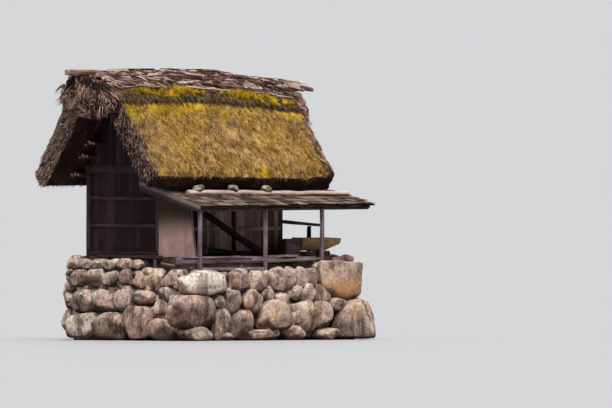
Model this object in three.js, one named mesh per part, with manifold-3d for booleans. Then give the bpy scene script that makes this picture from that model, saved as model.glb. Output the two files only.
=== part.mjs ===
// A small thatched mill on a plinth of dry-laid boulders, with a shingled lean-to along its pond side.
// Millimetres, +Z up. +X runs along the ridge and +Y away from the pond. Heights in this file count from the
// floor; the outer group lifts everything so that the plinth's flat underside lies at Z = 0.
import * as THREE from 'three';
import { mergeVertices } from 'three/addons/utils/BufferGeometryUtils.js';
import Module from 'manifold-3d';

const wasm = await Module();
wasm.setup();

// Driving dimensions of the hut
const GAP = 0.3;
const FLOOR_HEIGHT = 2120;
const LENGTH = 4380;
const DEPTH = 2580;
const MIDDLE_Y = DEPTH / 2;
const POST = 120;
const FLOOR_TOP = -30;
const SILL_TOP = 100;
const PLATE_BOTTOM = 2050;
const PLATE_TOP = 2250;
const PLATE_WIDTH = 160;
const BOARD = 30;
const BOARD_INSET = 30;
const MID_POST_X = 1420;
const RAIL_PROUD = 6;
const RAIL_TENON = 30;
const LONG_RAIL_Z = [610, 700];
const DOOR_FROM_Y = 840;
const DOOR_TO_Y = 1740;
const DOOR_TOP = 1760;

// Driving dimensions of the roof: offsets are measured level from the ridge, and heights are at the left end
const VERGE_LEFT = -1000;
const VERGE_RIGHT = 5400;
const CAP_OVERHANG = 30;
const EAVE_REACH = 2120;
const THATCH_OUTSIDE = [[0, 4380], [450, 4220], [850, 3950], [1080, 3680], [1620, 2810], [EAVE_REACH, 1980]];
const FRONT_LIP = [1880, 1700];
const REAR_LIP = [1970, 1770];
const INNER_APEX = 4220;
const INNER_SLOPE = 1.43;
const INNER_TOP = 3950;
const EAVE_OFFSET = 1740;
const CEILING_BEND = 1290;
const SAG = 300;
const SAG_FROM = 1200;
const SAG_LENGTH = 4200;
const SAG_FADE = 1170;
const TUFT = 17;
const EAVE_DIP = 90;
const RAFTER_RADIUS = 45;
const RAFTER_DEPTH = 125;
const RAFTER_FOOT = 1235;
const PURLIN_RADIUS = 30;
const PURLIN_DEPTH = 58;
const PURLIN_OFFSETS = [380, 920, 1150, 1470];
const BATTEN = 40;
const BATTEN_HEAD = 215;
const PURLIN_REACH = 300;
const RIDGE_BEAM = 58;
const RIDGE_BEAM_Z = 3826;

// Driving dimensions of the lean-to
const SHED_LEFT = -180;
const SHED_RIGHT = 6000;
const SHED_EAVE_Y = -1660;
const SHED_WALL_Y = -20;
const SHED_EAVE_Z = [1260, 1300];
const SHED_WALL_Z = [1760, 1640];
const SHED_THICKNESS = 80;
const SHED_RAFTER = 30;
const LET_IN = 6;
const WEIGHT_POLE = 45;
const WEIGHT_POLE_Y = -735;
const HEAD_BEAM = 45;
const SHED_POST = 90;
const SHED_POST_Y = -1450;
const SHED_POSTS = [[0, -350], [2300, -400], [4310, -180]];
const SILL_LOG_Y = -1300;

// Stones wider than this are drawn with more faces
const LARGE_STONE = 880;
const BATTER = 0.09;

// Cutting blocks reach further than anything in the model
const FAR = 9000;
const EVERYWHERE = [-FAR, FAR];

const slopeAngle = Math.atan(INNER_SLOPE);
const clamp = (value) => Math.min(1, Math.max(0, value));
const lerp = (a, b, t) => a + (b - a) * t;

// Solids and booleans

function withoutShading(geometry) {
  const bare = geometry.clone();
  bare.deleteAttribute('normal');
  bare.deleteAttribute('uv');
  return bare.index && !geometry.attributes.uv ? bare : mergeVertices(bare, 0.001);
}

function solid(geometry) {
  const bare = withoutShading(geometry);
  return new wasm.Manifold(new wasm.Mesh({
    numProp: 3,
    vertProperties: new Float32Array(bare.attributes.position.array),
    triVerts: new Uint32Array(bare.index.array),
  }));
}

function geometryOf(manifold) {
  const mesh = manifold.getMesh();
  const geometry = new THREE.BufferGeometry();
  geometry.setAttribute('position', new THREE.BufferAttribute(mesh.vertProperties, 3));
  geometry.setIndex(new THREE.BufferAttribute(mesh.triVerts, 1));
  return geometry;
}

const fuse = (pieces) => pieces.reduce((sum, piece) => sum.add(piece));
const cut = (body, tools) => tools.reduce((left, tool) => left.subtract(tool), body);
const withoutChips = (body) => body.decompose().reduce((a, b) => (a.volume() > b.volume() ? a : b));

function box(x, y, z, grow = 0) {
  const size = [x, y, z].map(([from, to]) => to - from + 2 * grow);
  const centre = [x, y, z].map(([from, to]) => (from + to) / 2);
  return solid(new THREE.BoxGeometry(...size).translate(...centre));
}

const allAbove = (z) => box(EVERYWHERE, EVERYWHERE, [z, FAR]);
const allBelow = (z) => box(EVERYWHERE, EVERYWHERE, [-FAR, z]);

// A straight round timber between two points, thinner at one end if wanted
function pole(from, to, radiusFrom, radiusTo = radiusFrom, sides = 8) {
  const a = new THREE.Vector3(...from);
  const b = new THREE.Vector3(...to);
  const along = b.clone().sub(a);
  const geometry = new THREE.CylinderGeometry(radiusTo, radiusFrom, along.length(), sides);
  geometry.rotateY(Math.PI / sides);
  geometry.applyQuaternion(new THREE.Quaternion().setFromUnitVectors(
    new THREE.Vector3(0, 1, 0),
    along.clone().normalize(),
  ));
  const middle = a.add(b).multiplyScalar(0.5);
  return solid(geometry.translate(middle.x, middle.y, middle.z));
}

// A closed skin over rings that all have the same number of points, with flat ends
function skin(rings, endTriangles) {
  const count = rings[0].length;
  const last = (rings.length - 1) * count;
  const index = [];
  for (let at = 0; at < last; at += count) {
    for (let p = 0; p < count; p += 1) {
      const a = at + p;
      const b = at + ((p + 1) % count);
      index.push(a, b, b + count, a, b + count, a + count);
    }
  }
  endTriangles.forEach(([a, b, c]) => index.push(c, b, a, last + a, last + b, last + c));
  const position = rings.flat(2);
  const geometry = new THREE.BufferGeometry();
  geometry.setAttribute('position', new THREE.Float32BufferAttribute(position, 3));
  geometry.setIndex(signedVolume(position, index) < 0 ? flipped(index) : index);
  return solid(geometry);
}

function signedVolume(position, index) {
  const corner = (n) => new THREE.Vector3().fromArray(position, 3 * n);
  let sum = 0;
  for (let i = 0; i < index.length; i += 3) {
    sum += corner(index[i]).dot(corner(index[i + 1]).cross(corner(index[i + 2])));
  }
  return sum / 6;
}

function flipped(index) {
  const turned = [];
  for (let i = 0; i < index.length; i += 3) {
    turned.push(index[i], index[i + 2], index[i + 1]);
  }
  return turned;
}

// Triangles that close a plane outline given as [y, z] points, wound the way the outline is
function endTriangles(outline) {
  const points = outline.map(([y, z]) => new THREE.Vector2(y, z));
  const turn = Math.sign(THREE.ShapeUtils.area(points));
  return THREE.ShapeUtils.triangulateShape(points, []).map(([a, b, c]) => {
    const same = Math.sign(THREE.ShapeUtils.area([points[a], points[b], points[c]])) === turn;
    return same ? [a, b, c] : [a, c, b];
  });
}

// A body whose section at each station along X is outlineAt(x), a list of [y, z] points
function loft(stations, outlineAt) {
  const rings = stations.map((x) => outlineAt(x).map(([y, z]) => [x, y, z]));
  return skin(rings, endTriangles(outlineAt(stations[0])));
}

const prism = (outline, fromX, toX) => loft([fromX, toX], () => outline);

function stationsBetween(from, to, count) {
  return Array.from({ length: count }, (_, i) => lerp(from, to, i / (count - 1)));
}

// The height of a bent line of [offset, height] points at any offset
function heightOn(line, offset) {
  const next = Math.max(1, line.findIndex(([reach]) => reach >= offset));
  const [from, fromHeight] = line[next - 1];
  const [to, toHeight] = line[next];
  return lerp(fromHeight, toHeight, (offset - from) / (to - from));
}

// How far a rounded box of half size 1 reaches in a direction
function boxyReach({ x, y, z }) {
  const power = 2.8;
  return (Math.abs(x) ** power + Math.abs(y) ** power + Math.abs(z) ** power) ** (-1 / power);
}

// A boulder: a boxy ball whose surface swells and dips a little, different for each seed
function boulder([x, y, z], [width, depth, height], seed) {
  const large = Math.max(width, height) > LARGE_STONE;
  const ball = large ? new THREE.IcosahedronGeometry(1, 1) : new THREE.DodecahedronGeometry(1, 0);
  const geometry = withoutShading(ball);
  const position = geometry.attributes.position;
  const turn = new THREE.Euler(0.4 * Math.sin(seed * 1.7), 0.4 * Math.sin(seed * 2.3), seed);
  const point = new THREE.Vector3();
  for (let i = 0; i < position.count; i += 1) {
    point.fromBufferAttribute(position, i).applyEuler(turn).normalize();
    const swell = 0.5 + 0.035 * Math.sin(5.1 * point.x + seed * 1.3) * Math.cos(4.3 * point.y - seed)
      + 0.025 * Math.sin(6.7 * point.z + seed * 2.1);
    point.multiplyScalar(boxyReach(point) * swell);
    position.setXYZ(i, point.x * width, point.y * depth, point.z * height);
  }
  return solid(geometry.translate(x, y, z));
}

// The scene graph: the hut's floor lies at the height of the plinth
const mill = new THREE.Group();
const hut = new THREE.Group();
hut.position.z = FLOOR_HEIGHT;
mill.add(hut);

function add(name, body, colour, roughness = 0.9) {
  const material = new THREE.MeshStandardMaterial({ color: colour, roughness, metalness: 0 });
  const mesh = new THREE.Mesh(geometryOf(body), material);
  mesh.name = name;
  hut.add(mesh);
}

const DARK_TIMBER = 0x2b2022;
const GREY_TIMBER = 0x6e6068;
const PALE_POLE = 0xaa918c;
const THATCH = 0x96783c;
const BARK = 0x785a50;
const STONE = 0x96877d;
const PLASTER = 0x96827a;
const SHINGLE = 0x786460;
const BARGE_PAINT = 0x41374b;
const FRESH_WOOD = 0x965f32;
const MOSSY_WOOD = 0x5a5528;

// The timber frame of the walls

function sillFrame(grow = 0) {
  const z = [FLOOR_TOP + GAP, SILL_TOP];
  const bar = (x, y) => box(x, y, z, grow);
  return fuse([
    bar([0, LENGTH], [0, POST]),
    bar([0, LENGTH], [DEPTH - POST, DEPTH]),
    bar([0, POST], [0, DEPTH]),
    bar([LENGTH - POST, LENGTH], [0, DEPTH]),
  ]);
}

// Two corner posts and a middle post carry a wall plate whose ends pass the corners a little, and a rail
// let into the posts half way up holds the boards
function wallFrame(postY, plateY, railY) {
  const postZ = [SILL_TOP + GAP, PLATE_BOTTOM + 1];
  const y = [postY, postY + POST];
  const atX = [0, MID_POST_X, LENGTH - POST];
  const posts = atX.map((x) => box([x, x + POST], y, postZ));
  const plate = box([-60, LENGTH + 60], plateY, [PLATE_BOTTOM, PLATE_TOP]);
  const railX = [POST - RAIL_TENON, LENGTH - POST + RAIL_TENON];
  return fuse([...posts, plate, box(railX, railY, LONG_RAIL_Z)]);
}

function doorFrame() {
  const x = [LENGTH - POST, LENGTH];
  const jamb = (from) => box(x, [from, from + POST], [SILL_TOP + GAP, PLATE_BOTTOM - GAP]);
  const lintel = box(x, [DOOR_FROM_Y - POST, DOOR_TO_Y + POST], [DOOR_TOP, DOOR_TOP + POST]);
  return fuse([jamb(DOOR_FROM_Y - POST), jamb(DOOR_TO_Y), lintel]);
}

// Upright boards, seen as one slab for each stretch of wall between two posts
function boardsAlongX(fromX, toX, y) {
  return box([fromX + GAP, toX - GAP], [y, y + BOARD], [SILL_TOP + GAP, PLATE_BOTTOM - GAP]);
}

function boardsAlongY(fromY, toY, x, fromZ = SILL_TOP) {
  return box([x, x + BOARD], [fromY + GAP, toY - GAP], [fromZ + GAP, PLATE_BOTTOM - GAP]);
}

// The gable's upright boards end just under the purlins that pass over them
function gableBoards(fromX) {
  const top = INNER_APEX - (PURLIN_DEPTH + PURLIN_RADIUS + 8) / Math.cos(slopeAngle);
  const foot = (top - PLATE_TOP) / INNER_SLOPE;
  const flatTop = INNER_TOP - 90;
  const shoulder = (top - flatTop) / INNER_SLOPE;
  const outline = [
    [MIDDLE_Y - foot, PLATE_TOP + GAP],
    [MIDDLE_Y + foot, PLATE_TOP + GAP],
    [MIDDLE_Y + shoulder, flatTop],
    [MIDDLE_Y - shoulder, flatTop],
  ];
  return prism(outline, fromX, fromX + BOARD - GAP);
}

// The roof's frame: one side has rafters, purlin bundles and battens lashed into one lattice

const sideY = (side, offset) => MIDDLE_Y + side * offset;
const underThatch = (offset, depth) => INNER_APEX - INNER_SLOPE * offset - depth / Math.cos(slopeAngle);

function roofPole(x, side, fromOffset, toOffset, depth, radius, sides) {
  const end = (offset) => [x, sideY(side, offset), underThatch(offset, depth)];
  return pole(end(fromOffset), end(toOffset), radius, radius, sides);
}

// Three poles side by side, drawn as one flat bundle with rounded edges
function purlinBundle(side, offset) {
  const outline = stationsBetween(0, 2 * Math.PI, 9).slice(0, -1).map((angle) => {
    const along = 2.6 * PURLIN_RADIUS * Math.cos(angle);
    const across = PURLIN_RADIUS * Math.sign(Math.sin(angle)) * Math.abs(Math.sin(angle)) ** 0.6;
    const level = along * Math.cos(slopeAngle) + across * Math.sin(slopeAngle);
    const rise = across * Math.cos(slopeAngle) - along * Math.sin(slopeAngle);
    return [sideY(side, offset) + side * level, underThatch(offset, PURLIN_DEPTH) + rise];
  });
  return prism(outline, -PURLIN_REACH, LENGTH + PURLIN_REACH);
}

const ridgeBeam = (radius) => pole(
  [-PURLIN_REACH, MIDDLE_Y, RIDGE_BEAM_Z],
  [LENGTH + PURLIN_REACH, MIDDLE_Y, RIDGE_BEAM_Z],
  radius,
);

function roofFrame(side) {
  const rafters = stationsBetween(75, LENGTH - 75, 5)
    .map((x) => roofPole(x, side, -20, RAFTER_FOOT, RAFTER_DEPTH, RAFTER_RADIUS, 8));
  const purlins = PURLIN_OFFSETS.map((offset) => purlinBundle(side, offset));
  const battens = stationsBetween(-200, LENGTH + 200, 7)
    .map((x) => roofPole(x, side, BATTEN_HEAD, EAVE_OFFSET - 20, BATTEN / 2 - LET_IN, BATTEN / 2, 6));
  const lattice = fuse([...rafters, ...purlins, ...battens]);
  const otherSide = side < 0 ? [MIDDLE_Y - GAP / 2, FAR] : [-FAR, MIDDLE_Y + GAP / 2];
  const overPlates = box(EVERYWHERE, [0, DEPTH], [-FAR, PLATE_TOP + GAP]);
  return cut(lattice, [
    box(EVERYWHERE, otherSide, EVERYWHERE),
    allAbove(INNER_TOP - 5),
    overPlates,
    thatch(side).translate([0, 0, -GAP]),
  ]);
}

// The thatch: a thick shaggy coat whose top sinks towards the right end

const sag = (x) => SAG * Math.max((x - SAG_FROM) / SAG_LENGTH, 0) ** 1.6;
const sagShare = (offset) => clamp((EAVE_REACH - offset) / SAG_FADE);
const lowerHalf = (offset) => clamp((offset - 1100) / 1000);

// The pond side's eave hangs lowest shortly before the right end, and its lip rises at the left corner
const dipShare = (x) => clamp((x + 200) / 4600) * clamp((VERGE_RIGHT - x) / 900);
const eaveDip = (x, offset) => EAVE_DIP * dipShare(x) * lowerHalf(offset);
const lipRise = (x) => 90 * clamp((-300 - x) / 700);

// Below the cap the weathered top swells and sinks in tufts
function tuft(x, offset, side) {
  const down = side * 1.9 * offset;
  const acrossSlope = Math.sin(x / 92 + 1.2 * Math.sin(down / 260));
  const downSlope = Math.sin(down / 165 + 1.2 * Math.sin(x / 340));
  return TUFT * clamp((offset - 950) / 200) * acrossSlope * downSlope;
}

const TUFT_OFFSETS = [0, 450, 850, ...stationsBetween(1080, EAVE_REACH, 12)];

function thatchOutline(x, side) {
  const front = side < 0;
  const outside = TUFT_OFFSETS.map((offset) => {
    const dip = front ? eaveDip(x, offset) : 0;
    const height = heightOn(THATCH_OUTSIDE, offset) - sag(x) * sagShare(offset) - dip;
    const swell = tuft(x, offset, side);
    return [offset + swell * Math.sin(slopeAngle), height + swell * Math.cos(slopeAngle)];
  });
  const [lipOffset, lipHeight] = front ? FRONT_LIP : REAR_LIP;
  const ceiling = (offset) => INNER_APEX - INNER_SLOPE * offset;
  const inside = [
    [lipOffset, lipHeight + (front ? lipRise(x) : 0)],
    [EAVE_OFFSET, ceiling(EAVE_OFFSET)],
    [CEILING_BEND, ceiling(CEILING_BEND)],
    [(INNER_APEX - INNER_TOP) / INNER_SLOPE, INNER_TOP],
    [0, INNER_TOP],
  ];
  return [...outside, ...inside].map(([offset, height]) => [sideY(side, Math.max(offset, GAP / 2)), height]);
}

// The pond side takes more stations, because its eave dips and its lip rises
function thatch(side) {
  const stations = stationsBetween(VERGE_LEFT, VERGE_RIGHT, side < 0 ? 35 : 33);
  return loft(stations, (x) => thatchOutline(x, side));
}

// The ridge cap: bark over a mossy layer over a layer of straw, saddle-shaped, lying on both slopes

const CAP_TOP = [[0, 4500], [300, 4420], [600, 4225], [790, 4130], [830, 4030], [930, 3975], [985, 3870]];
const CAP_UNDER = [[0, 4350], [450, 4190], [850, 3920], [930, 3836]];

const capSwell = (x, offset) => 20 * Math.sin(x / 190 + offset / 150);

function capOutline(x, lift) {
  const over = (side) => ([offset, height]) => [
    sideY(side, offset),
    height - sag(x) + capSwell(x, side * offset) + lift,
  ];
  const under = (side) => ([offset, height]) => [sideY(side, offset), height - sag(x)];
  return [
    ...CAP_TOP.slice(1).map(over(1)).reverse(),
    ...CAP_TOP.map(over(-1)),
    ...CAP_UNDER.slice(1).map(under(-1)).reverse(),
    ...CAP_UNDER.map(under(1)),
  ];
}

function ridgeCap(lift = 0) {
  const stations = stationsBetween(VERGE_LEFT - CAP_OVERHANG, VERGE_RIGHT + CAP_OVERHANG, 23);
  return loft(stations, (x) => capOutline(x, lift));
}

// A shaggy, lumpy bundle of bark and straw hangs over each end of the ridge. These are its outlines beside the
// cap and at its open end, as [offset from the ridge, height] points.
const BUNDLE_INNER = [
  [0, 4440], [-300, 4370], [-620, 4160], [-940, 3850], [-900, 3560], [-480, 3500], [-150, 3580],
  [180, 3620], [470, 3660], [520, 4000], [300, 4330],
];
const BUNDLE_OUTER = [
  [0, 4498], [-330, 4420], [-600, 4200], [-820, 3940], [-760, 3600], [-450, 3440], [-200, 3520],
  [240, 3580], [470, 3640], [530, 4000], [330, 4400],
];
const BUNDLE_LUMP = 42;

function gableBundle(fromX, toX, share, lift = 0) {
  const outlineAt = (x) => BUNDLE_INNER.map(([innerOffset, innerHeight], i) => {
    const open = Math.abs(x - fromX) / Math.abs(toX - fromX);
    const [outerOffset, outerHeight] = BUNDLE_OUTER[i];
    const offset = share * lerp(innerOffset, outerOffset, open);
    const height = lerp(innerHeight, outerHeight, open) - sag(x) + lift;
    const loose = clamp((Math.abs(offset) - 350) / 150);
    const lump = BUNDLE_LUMP * loose * Math.sin(2.4 * i + x / 95);
    return [MIDDLE_Y + offset + Math.sign(offset) * lump, height - 0.4 * lump];
  });
  return loft(stationsBetween(fromX, toX, 7), outlineAt);
}

// Long crooked poles weigh the cap down; each follows the cap's sagging top
function ridgePole(offset, fromX, toX, radius) {
  const points = stationsBetween(fromX, toX, 13).map((x) => new THREE.Vector3(
    x,
    MIDDLE_Y - offset + 26 * Math.sin(x / 620 + offset / 90),
    heightOn(CAP_TOP, Math.abs(offset)) - sag(x) + radius - 8 + 16 * Math.sin(x / 410 + offset / 70),
  ));
  const ring = stationsBetween(0, 2 * Math.PI, 7).slice(0, -1)
    .map((angle) => new THREE.Vector2(radius * Math.cos(angle), radius * Math.sin(angle)));
  return solid(new THREE.ExtrudeGeometry(new THREE.Shape(ring), {
    steps: 18,
    extrudePath: new THREE.CatmullRomCurve3(points),
    bevelEnabled: false,
  }));
}

// The lean-to

function shedTop(x, y) {
  const t = (x - SHED_LEFT) / (SHED_RIGHT - SHED_LEFT);
  const eave = lerp(...SHED_EAVE_Z, t);
  const wall = lerp(...SHED_WALL_Z, t);
  return lerp(eave, wall, (y - SHED_EAVE_Y) / (SHED_WALL_Y - SHED_EAVE_Y));
}

function shedRoof(lift = 0) {
  return loft(stationsBetween(SHED_LEFT + GAP, SHED_RIGHT, 9), (x) => [
    [SHED_EAVE_Y, shedTop(x, SHED_EAVE_Y) + lift],
    [SHED_WALL_Y, shedTop(x, SHED_WALL_Y) + lift],
    [SHED_WALL_Y, shedTop(x, SHED_WALL_Y) - SHED_THICKNESS],
    [SHED_EAVE_Y, shedTop(x, SHED_EAVE_Y) - SHED_THICKNESS],
  ]);
}

const shedUnder = (x, y) => shedTop(x, y) - SHED_THICKNESS;

function shedFrame(grow = 0) {
  const rafter = (x) => pole(
    [x, SHED_EAVE_Y + 30, shedUnder(x, SHED_EAVE_Y + 30) - SHED_RAFTER + LET_IN],
    [x, SHED_WALL_Y - 2, shedUnder(x, SHED_WALL_Y - 2) - SHED_RAFTER + LET_IN],
    SHED_RAFTER + grow,
  );
  const headZ = (x) => shedUnder(x, SHED_POST_Y) - 2 * SHED_RAFTER - HEAD_BEAM + 3 * LET_IN;
  const ledgerZ = (x) => shedUnder(x, -60) - 2 * SHED_RAFTER - HEAD_BEAM + 3 * LET_IN;
  const ends = [SHED_LEFT + 30, SHED_RIGHT - 60];
  const headBeam = pole(...ends.map((x) => [x, SHED_POST_Y, headZ(x)]), HEAD_BEAM + grow);
  const ledger = pole(...ends.map((x) => [x, -42, ledgerZ(x)]), 42 - GAP + grow);
  const rafters = [0, 860, 1720, 2580, 3440, 4310, 5100, 5800].map(rafter);
  return fuse([headBeam, ledger, ...rafters]);
}

function shedPost(x, foot, grow = 0) {
  const half = SHED_POST / 2;
  const z = [foot + GAP, shedUnder(x, SHED_POST_Y) - 2 * SHED_RAFTER - HEAD_BEAM + 6];
  return box([x - half, x + half], [SHED_POST_Y - half, SHED_POST_Y + half], z, grow);
}

// The board along the lean-to's left edge runs on past the wall's corner
function bargeBoard() {
  const outline = [[490, 1860], [-1650, 1255], [-1650, 1085], [490, 1620]];
  return prism(outline, SHED_LEFT - 35, SHED_LEFT);
}

function weightPole(grow = 0) {
  const ends = [[250, WEIGHT_POLE_Y], [5900, WEIGHT_POLE_Y - 55]];
  return pole(
    ...ends.map(([x, y]) => [x, y, shedTop(x, y) + WEIGHT_POLE - 6]),
    WEIGHT_POLE + grow,
    WEIGHT_POLE - 8 + grow,
  );
}

// A stone that lies on the weight pole and on the shingles behind it
function roofStone(x, width, height, seed) {
  const y = WEIGHT_POLE_Y + 5;
  const poleTop = shedTop(x, y) + 2 * WEIGHT_POLE;
  const stone = boulder([x, y, poleTop + 0.22 * height], [width, 210, height], seed);
  const beforePole = box([x - width, x + width], [y - 300, y - 10], [0, poleTop - 20]);
  return cut(stone, [shedRoof(GAP), weightPole(GAP), beforePole]);
}

// The long log that leans under the lean-to's roof down to the sill
const diagonalBrace = () => pole([230, -1308, 1090], [2330, -1308, 44], 80, 90);

// Plaster closes the lean-to's left end as far as its slanting free edge
const plasterPanel = () => prism(
  [[-GAP, FLOOR_TOP + GAP], [-1290, FLOOR_TOP + GAP], [-1095, 1500], [-GAP, 1700]],
  -20,
  20,
);
const panelEdge = (grow = 0) => pole([0, -1322, FLOOR_TOP - 60], [0, -1105, 1500], 25 + grow);

// All that lies over the middle of the rafter that runs along the top of the plaster panel
function overPanelRafter() {
  const [from, to] = [-1700, 10];
  const line = (y) => shedUnder(0, y) - SHED_RAFTER;
  return prism([[from, line(from)], [to, line(to)], [to, 3000], [from, 3000]], -100, 100);
}

// Two logs lie end to end along the lean-to's open side
function sillLog(fromX, toX, radiusFrom, radiusTo, grow = 0) {
  const top = FLOOR_TOP;
  return pole(
    [fromX, SILL_LOG_Y, top - radiusFrom],
    [toX, SILL_LOG_Y, top - radiusTo],
    radiusFrom + grow,
    radiusTo + grow,
  );
}

const sillLogLeft = (grow = 0) => sillLog(-780 - grow, 1270 + grow, 96, 88, grow);
const sillLogRight = (grow = 0) => sillLog(1272 - grow, 3730 + grow, 92, 62, grow);

function lowerBearer(grow = 0) {
  const from = SHED_POSTS[0][0] + SHED_POST / 2 + 2 * GAP;
  const to = SHED_POSTS[1][0] - SHED_POST / 2 - 2 * GAP;
  const bar = box([from, to], [SHED_POST_Y - 35, SHED_POST_Y + 35], [-380, -295], grow);
  const stub = box([1400, 1520], [SHED_POST_Y - 30, SHED_POST_Y + 30], [-300, -225], grow);
  return fuse([bar, stub]);
}

function edgePole() {
  const from = SHED_POSTS[1][0] + SHED_POST / 2 - 5;
  const to = SHED_POSTS[2][0] - SHED_POST / 2 + 5;
  return pole([from, SHED_POST_Y, -150], [to, SHED_POST_Y, -95], 34, 28);
}

const gableLog = (grow = 0) => pole([-110, 2050, -45], [-110, -190, -50], 52 + grow, 58 + grow);
const sidePole = (grow = 0) => pole([-330, -400, -190], [-235, -1440, -325], 27 + grow);
const stubPost = (grow = 0) => pole([-110, 20, -430], [-110, 20, -60], 52 + grow);
const looseLog = () => pole([640, -960, 104], [1860, -1020, 14], 140, 52);

// The trough: a hollowed log with a spout at its right end, lying across two short logs

const TROUGH_Y = -450;
const TROUGH_FROM = 4440;
const TROUGH_TO = 5860;
const TROUGH_BOTTOM = 100;
const TROUGH_TOP = 425;
const TROUGH_WALL = 52;
const TROUGH_HALF = [205, 120];
const SPOUT_FROM = 5350;
const SPOUT_Z = [250, 400];

function troughOutline(x, inset) {
  const taper = clamp((x - SPOUT_FROM) / (TROUGH_TO - SPOUT_FROM));
  const half = lerp(...TROUGH_HALF, taper) - inset;
  const low = lerp(TROUGH_BOTTOM, SPOUT_Z[0], taper) + inset;
  const top = lerp(TROUGH_TOP, SPOUT_Z[1], taper);
  return [
    [-0.94 * half, top + 2 * inset],
    [-half, lerp(low, top, 0.55)],
    [-0.72 * half, lerp(low, top, 0.14)],
    [-0.3 * half, low],
    [0.3 * half, low],
    [0.72 * half, lerp(low, top, 0.14)],
    [half, lerp(low, top, 0.55)],
    [0.94 * half, top + 2 * inset],
  ].map(([y, z]) => [TROUGH_Y + y, z]);
}

function trough() {
  const log = loft([TROUGH_FROM, 4900, SPOUT_FROM, 5600, TROUGH_TO], (x) => troughOutline(x, 0));
  const hollow = loft(
    [TROUGH_FROM + 2 * TROUGH_WALL, 5000, SPOUT_FROM, TROUGH_TO + 50],
    (x) => troughOutline(x, TROUGH_WALL),
  );
  return cut(log, [hollow]);
}

const bearerRadius = (TROUGH_BOTTOM - FLOOR_TOP) / 2 + 8;
const troughBearer = (x) => pole(
  [x, TROUGH_Y - 290, (FLOOR_TOP + TROUGH_BOTTOM) / 2],
  [x, TROUGH_Y + 290, (FLOOR_TOP + TROUGH_BOTTOM) / 2],
  bearerRadius,
);
const troughBlock = () => box([3930, 4425], [TROUGH_Y - 130, TROUGH_Y + 130], [FLOOR_TOP + GAP, 400]);
const flumePole = (grow = 0) => pole([LENGTH - 10, 60, 828], [5780, 105, 730], 46 + grow, 40 + grow);
const flumePost = () => pole([5390, 92, FLOOR_TOP + GAP], [5390, 92, 780], 62, 55);

// The plinth of dry-laid boulders

// Boulders of the pond side as [distance to the right, height of the middle, width, height]
const POND_SIDE = [
  [-60, -675, 1250, 680], [-480, -1390, 1300, 800], [4830, -665, 1200, 980], [5220, -1600, 1080, 940],
  [2330, -1525, 900, 830], [3370, -1560, 800, 850], [4010, -1500, 620, 720], [1200, -1730, 600, 720],
  [500, -1690, 470, 760], [920, -1125, 470, 640], [430, -1160, 400, 380], [1580, -1150, 600, 600],
  [2150, -985, 440, 440], [2660, -1070, 400, 340], [3160, -940, 360, 400], [3590, -1000, 480, 560],
  [4110, -1010, 420, 540], [4620, -1240, 560, 420], [1210, -640, 540, 620], [1890, -650, 540, 540],
  [2540, -640, 520, 620], [3030, -570, 340, 540], [3400, -560, 360, 540], [3790, -560, 380, 460],
  [-400, -1950, 800, 360], [600, -2020, 420, 220], [1700, -1990, 780, 270], [2200, -1950, 420, 300],
  [2960, -1930, 640, 380], [4150, -1960, 700, 330],
];

// The left end, as [distance away from the pond, height of the middle, width, height]
const LEFT_END = [
  [-1080, -600, 540, 520], [-880, -930, 500, 440], [-480, -620, 460, 420], [0, -620, 460, 420],
  [-120, -1040, 800, 360], [-700, -1300, 420, 440], [560, -560, 480, 440], [1040, -600, 540, 460],
  [1600, -560, 560, 480], [2200, -580, 640, 460], [560, -1120, 620, 560], [1240, -1150, 760, 620],
  [2020, -1180, 820, 640], [-850, -1850, 900, 560], [60, -1650, 900, 820], [1000, -1760, 1000, 700],
  [1950, -1780, 980, 660], [300, -250, 380, 300], [680, -230, 420, 290], [1120, -240, 500, 310],
  [1600, -230, 480, 280], [2060, -240, 480, 310], [2460, -230, 420, 290],
];

// The right end and the rear repeat rough courses of stones under a rim of small ones
function courses(from, to) {
  const rows = [[-150, 290, 8], [-500, 560, 4], [-1120, 700, 3], [-1760, 760, 3]];
  return rows.flatMap(([height, tall, count], row) => {
    const step = (to - from) / count;
    return Array.from({ length: count }, (_, i) => [
      from + step * (i + 0.5) + 60 * Math.sin(7 * i + row),
      height + 0.06 * tall * Math.sin(5 * i + 2 * row),
      step * 1.16,
      tall,
    ]);
  });
}

const CORE_X = [-430, 5560];
const CORE_Y = [-1480, 2700];

function plinthStones() {
  const front = POND_SIDE.map(([x, z, width, height], i) => boulder(
    [x, -1530 + BATTER * z, z],
    [1.08 * width, 0.82 * Math.min(width, 760), height],
    i + 1,
  ));
  const left = LEFT_END.map(([y, z, width, height], i) => boulder(
    [-480 + BATTER * z, y, z],
    [0.8 * Math.min(width, 700), 1.08 * width, height],
    i + 40,
  ));
  const right = courses(-1250, 2750).map(([y, z, width, height], i) => boulder(
    [5500 - BATTER * z, y, z],
    [0.7 * Math.min(width, 760), width, height],
    i + 70,
  ));
  const rear = courses(-450, 5600).map(([x, z, width, height], i) => boulder(
    [x, 2640 - BATTER * z, z],
    [width, 0.6 * Math.min(width, 800), height],
    i + 100,
  ));
  return [...front, ...left, ...right, ...rear];
}

// A stone with a flat bed at the height of the post that stands on it
function footingStone(x, foot) {
  const stone = boulder([x, SHED_POST_Y + 30, foot - 140], [520, 420, 420], x / 1000 + 3);
  return cut(stone, [allAbove(foot)]);
}

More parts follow.
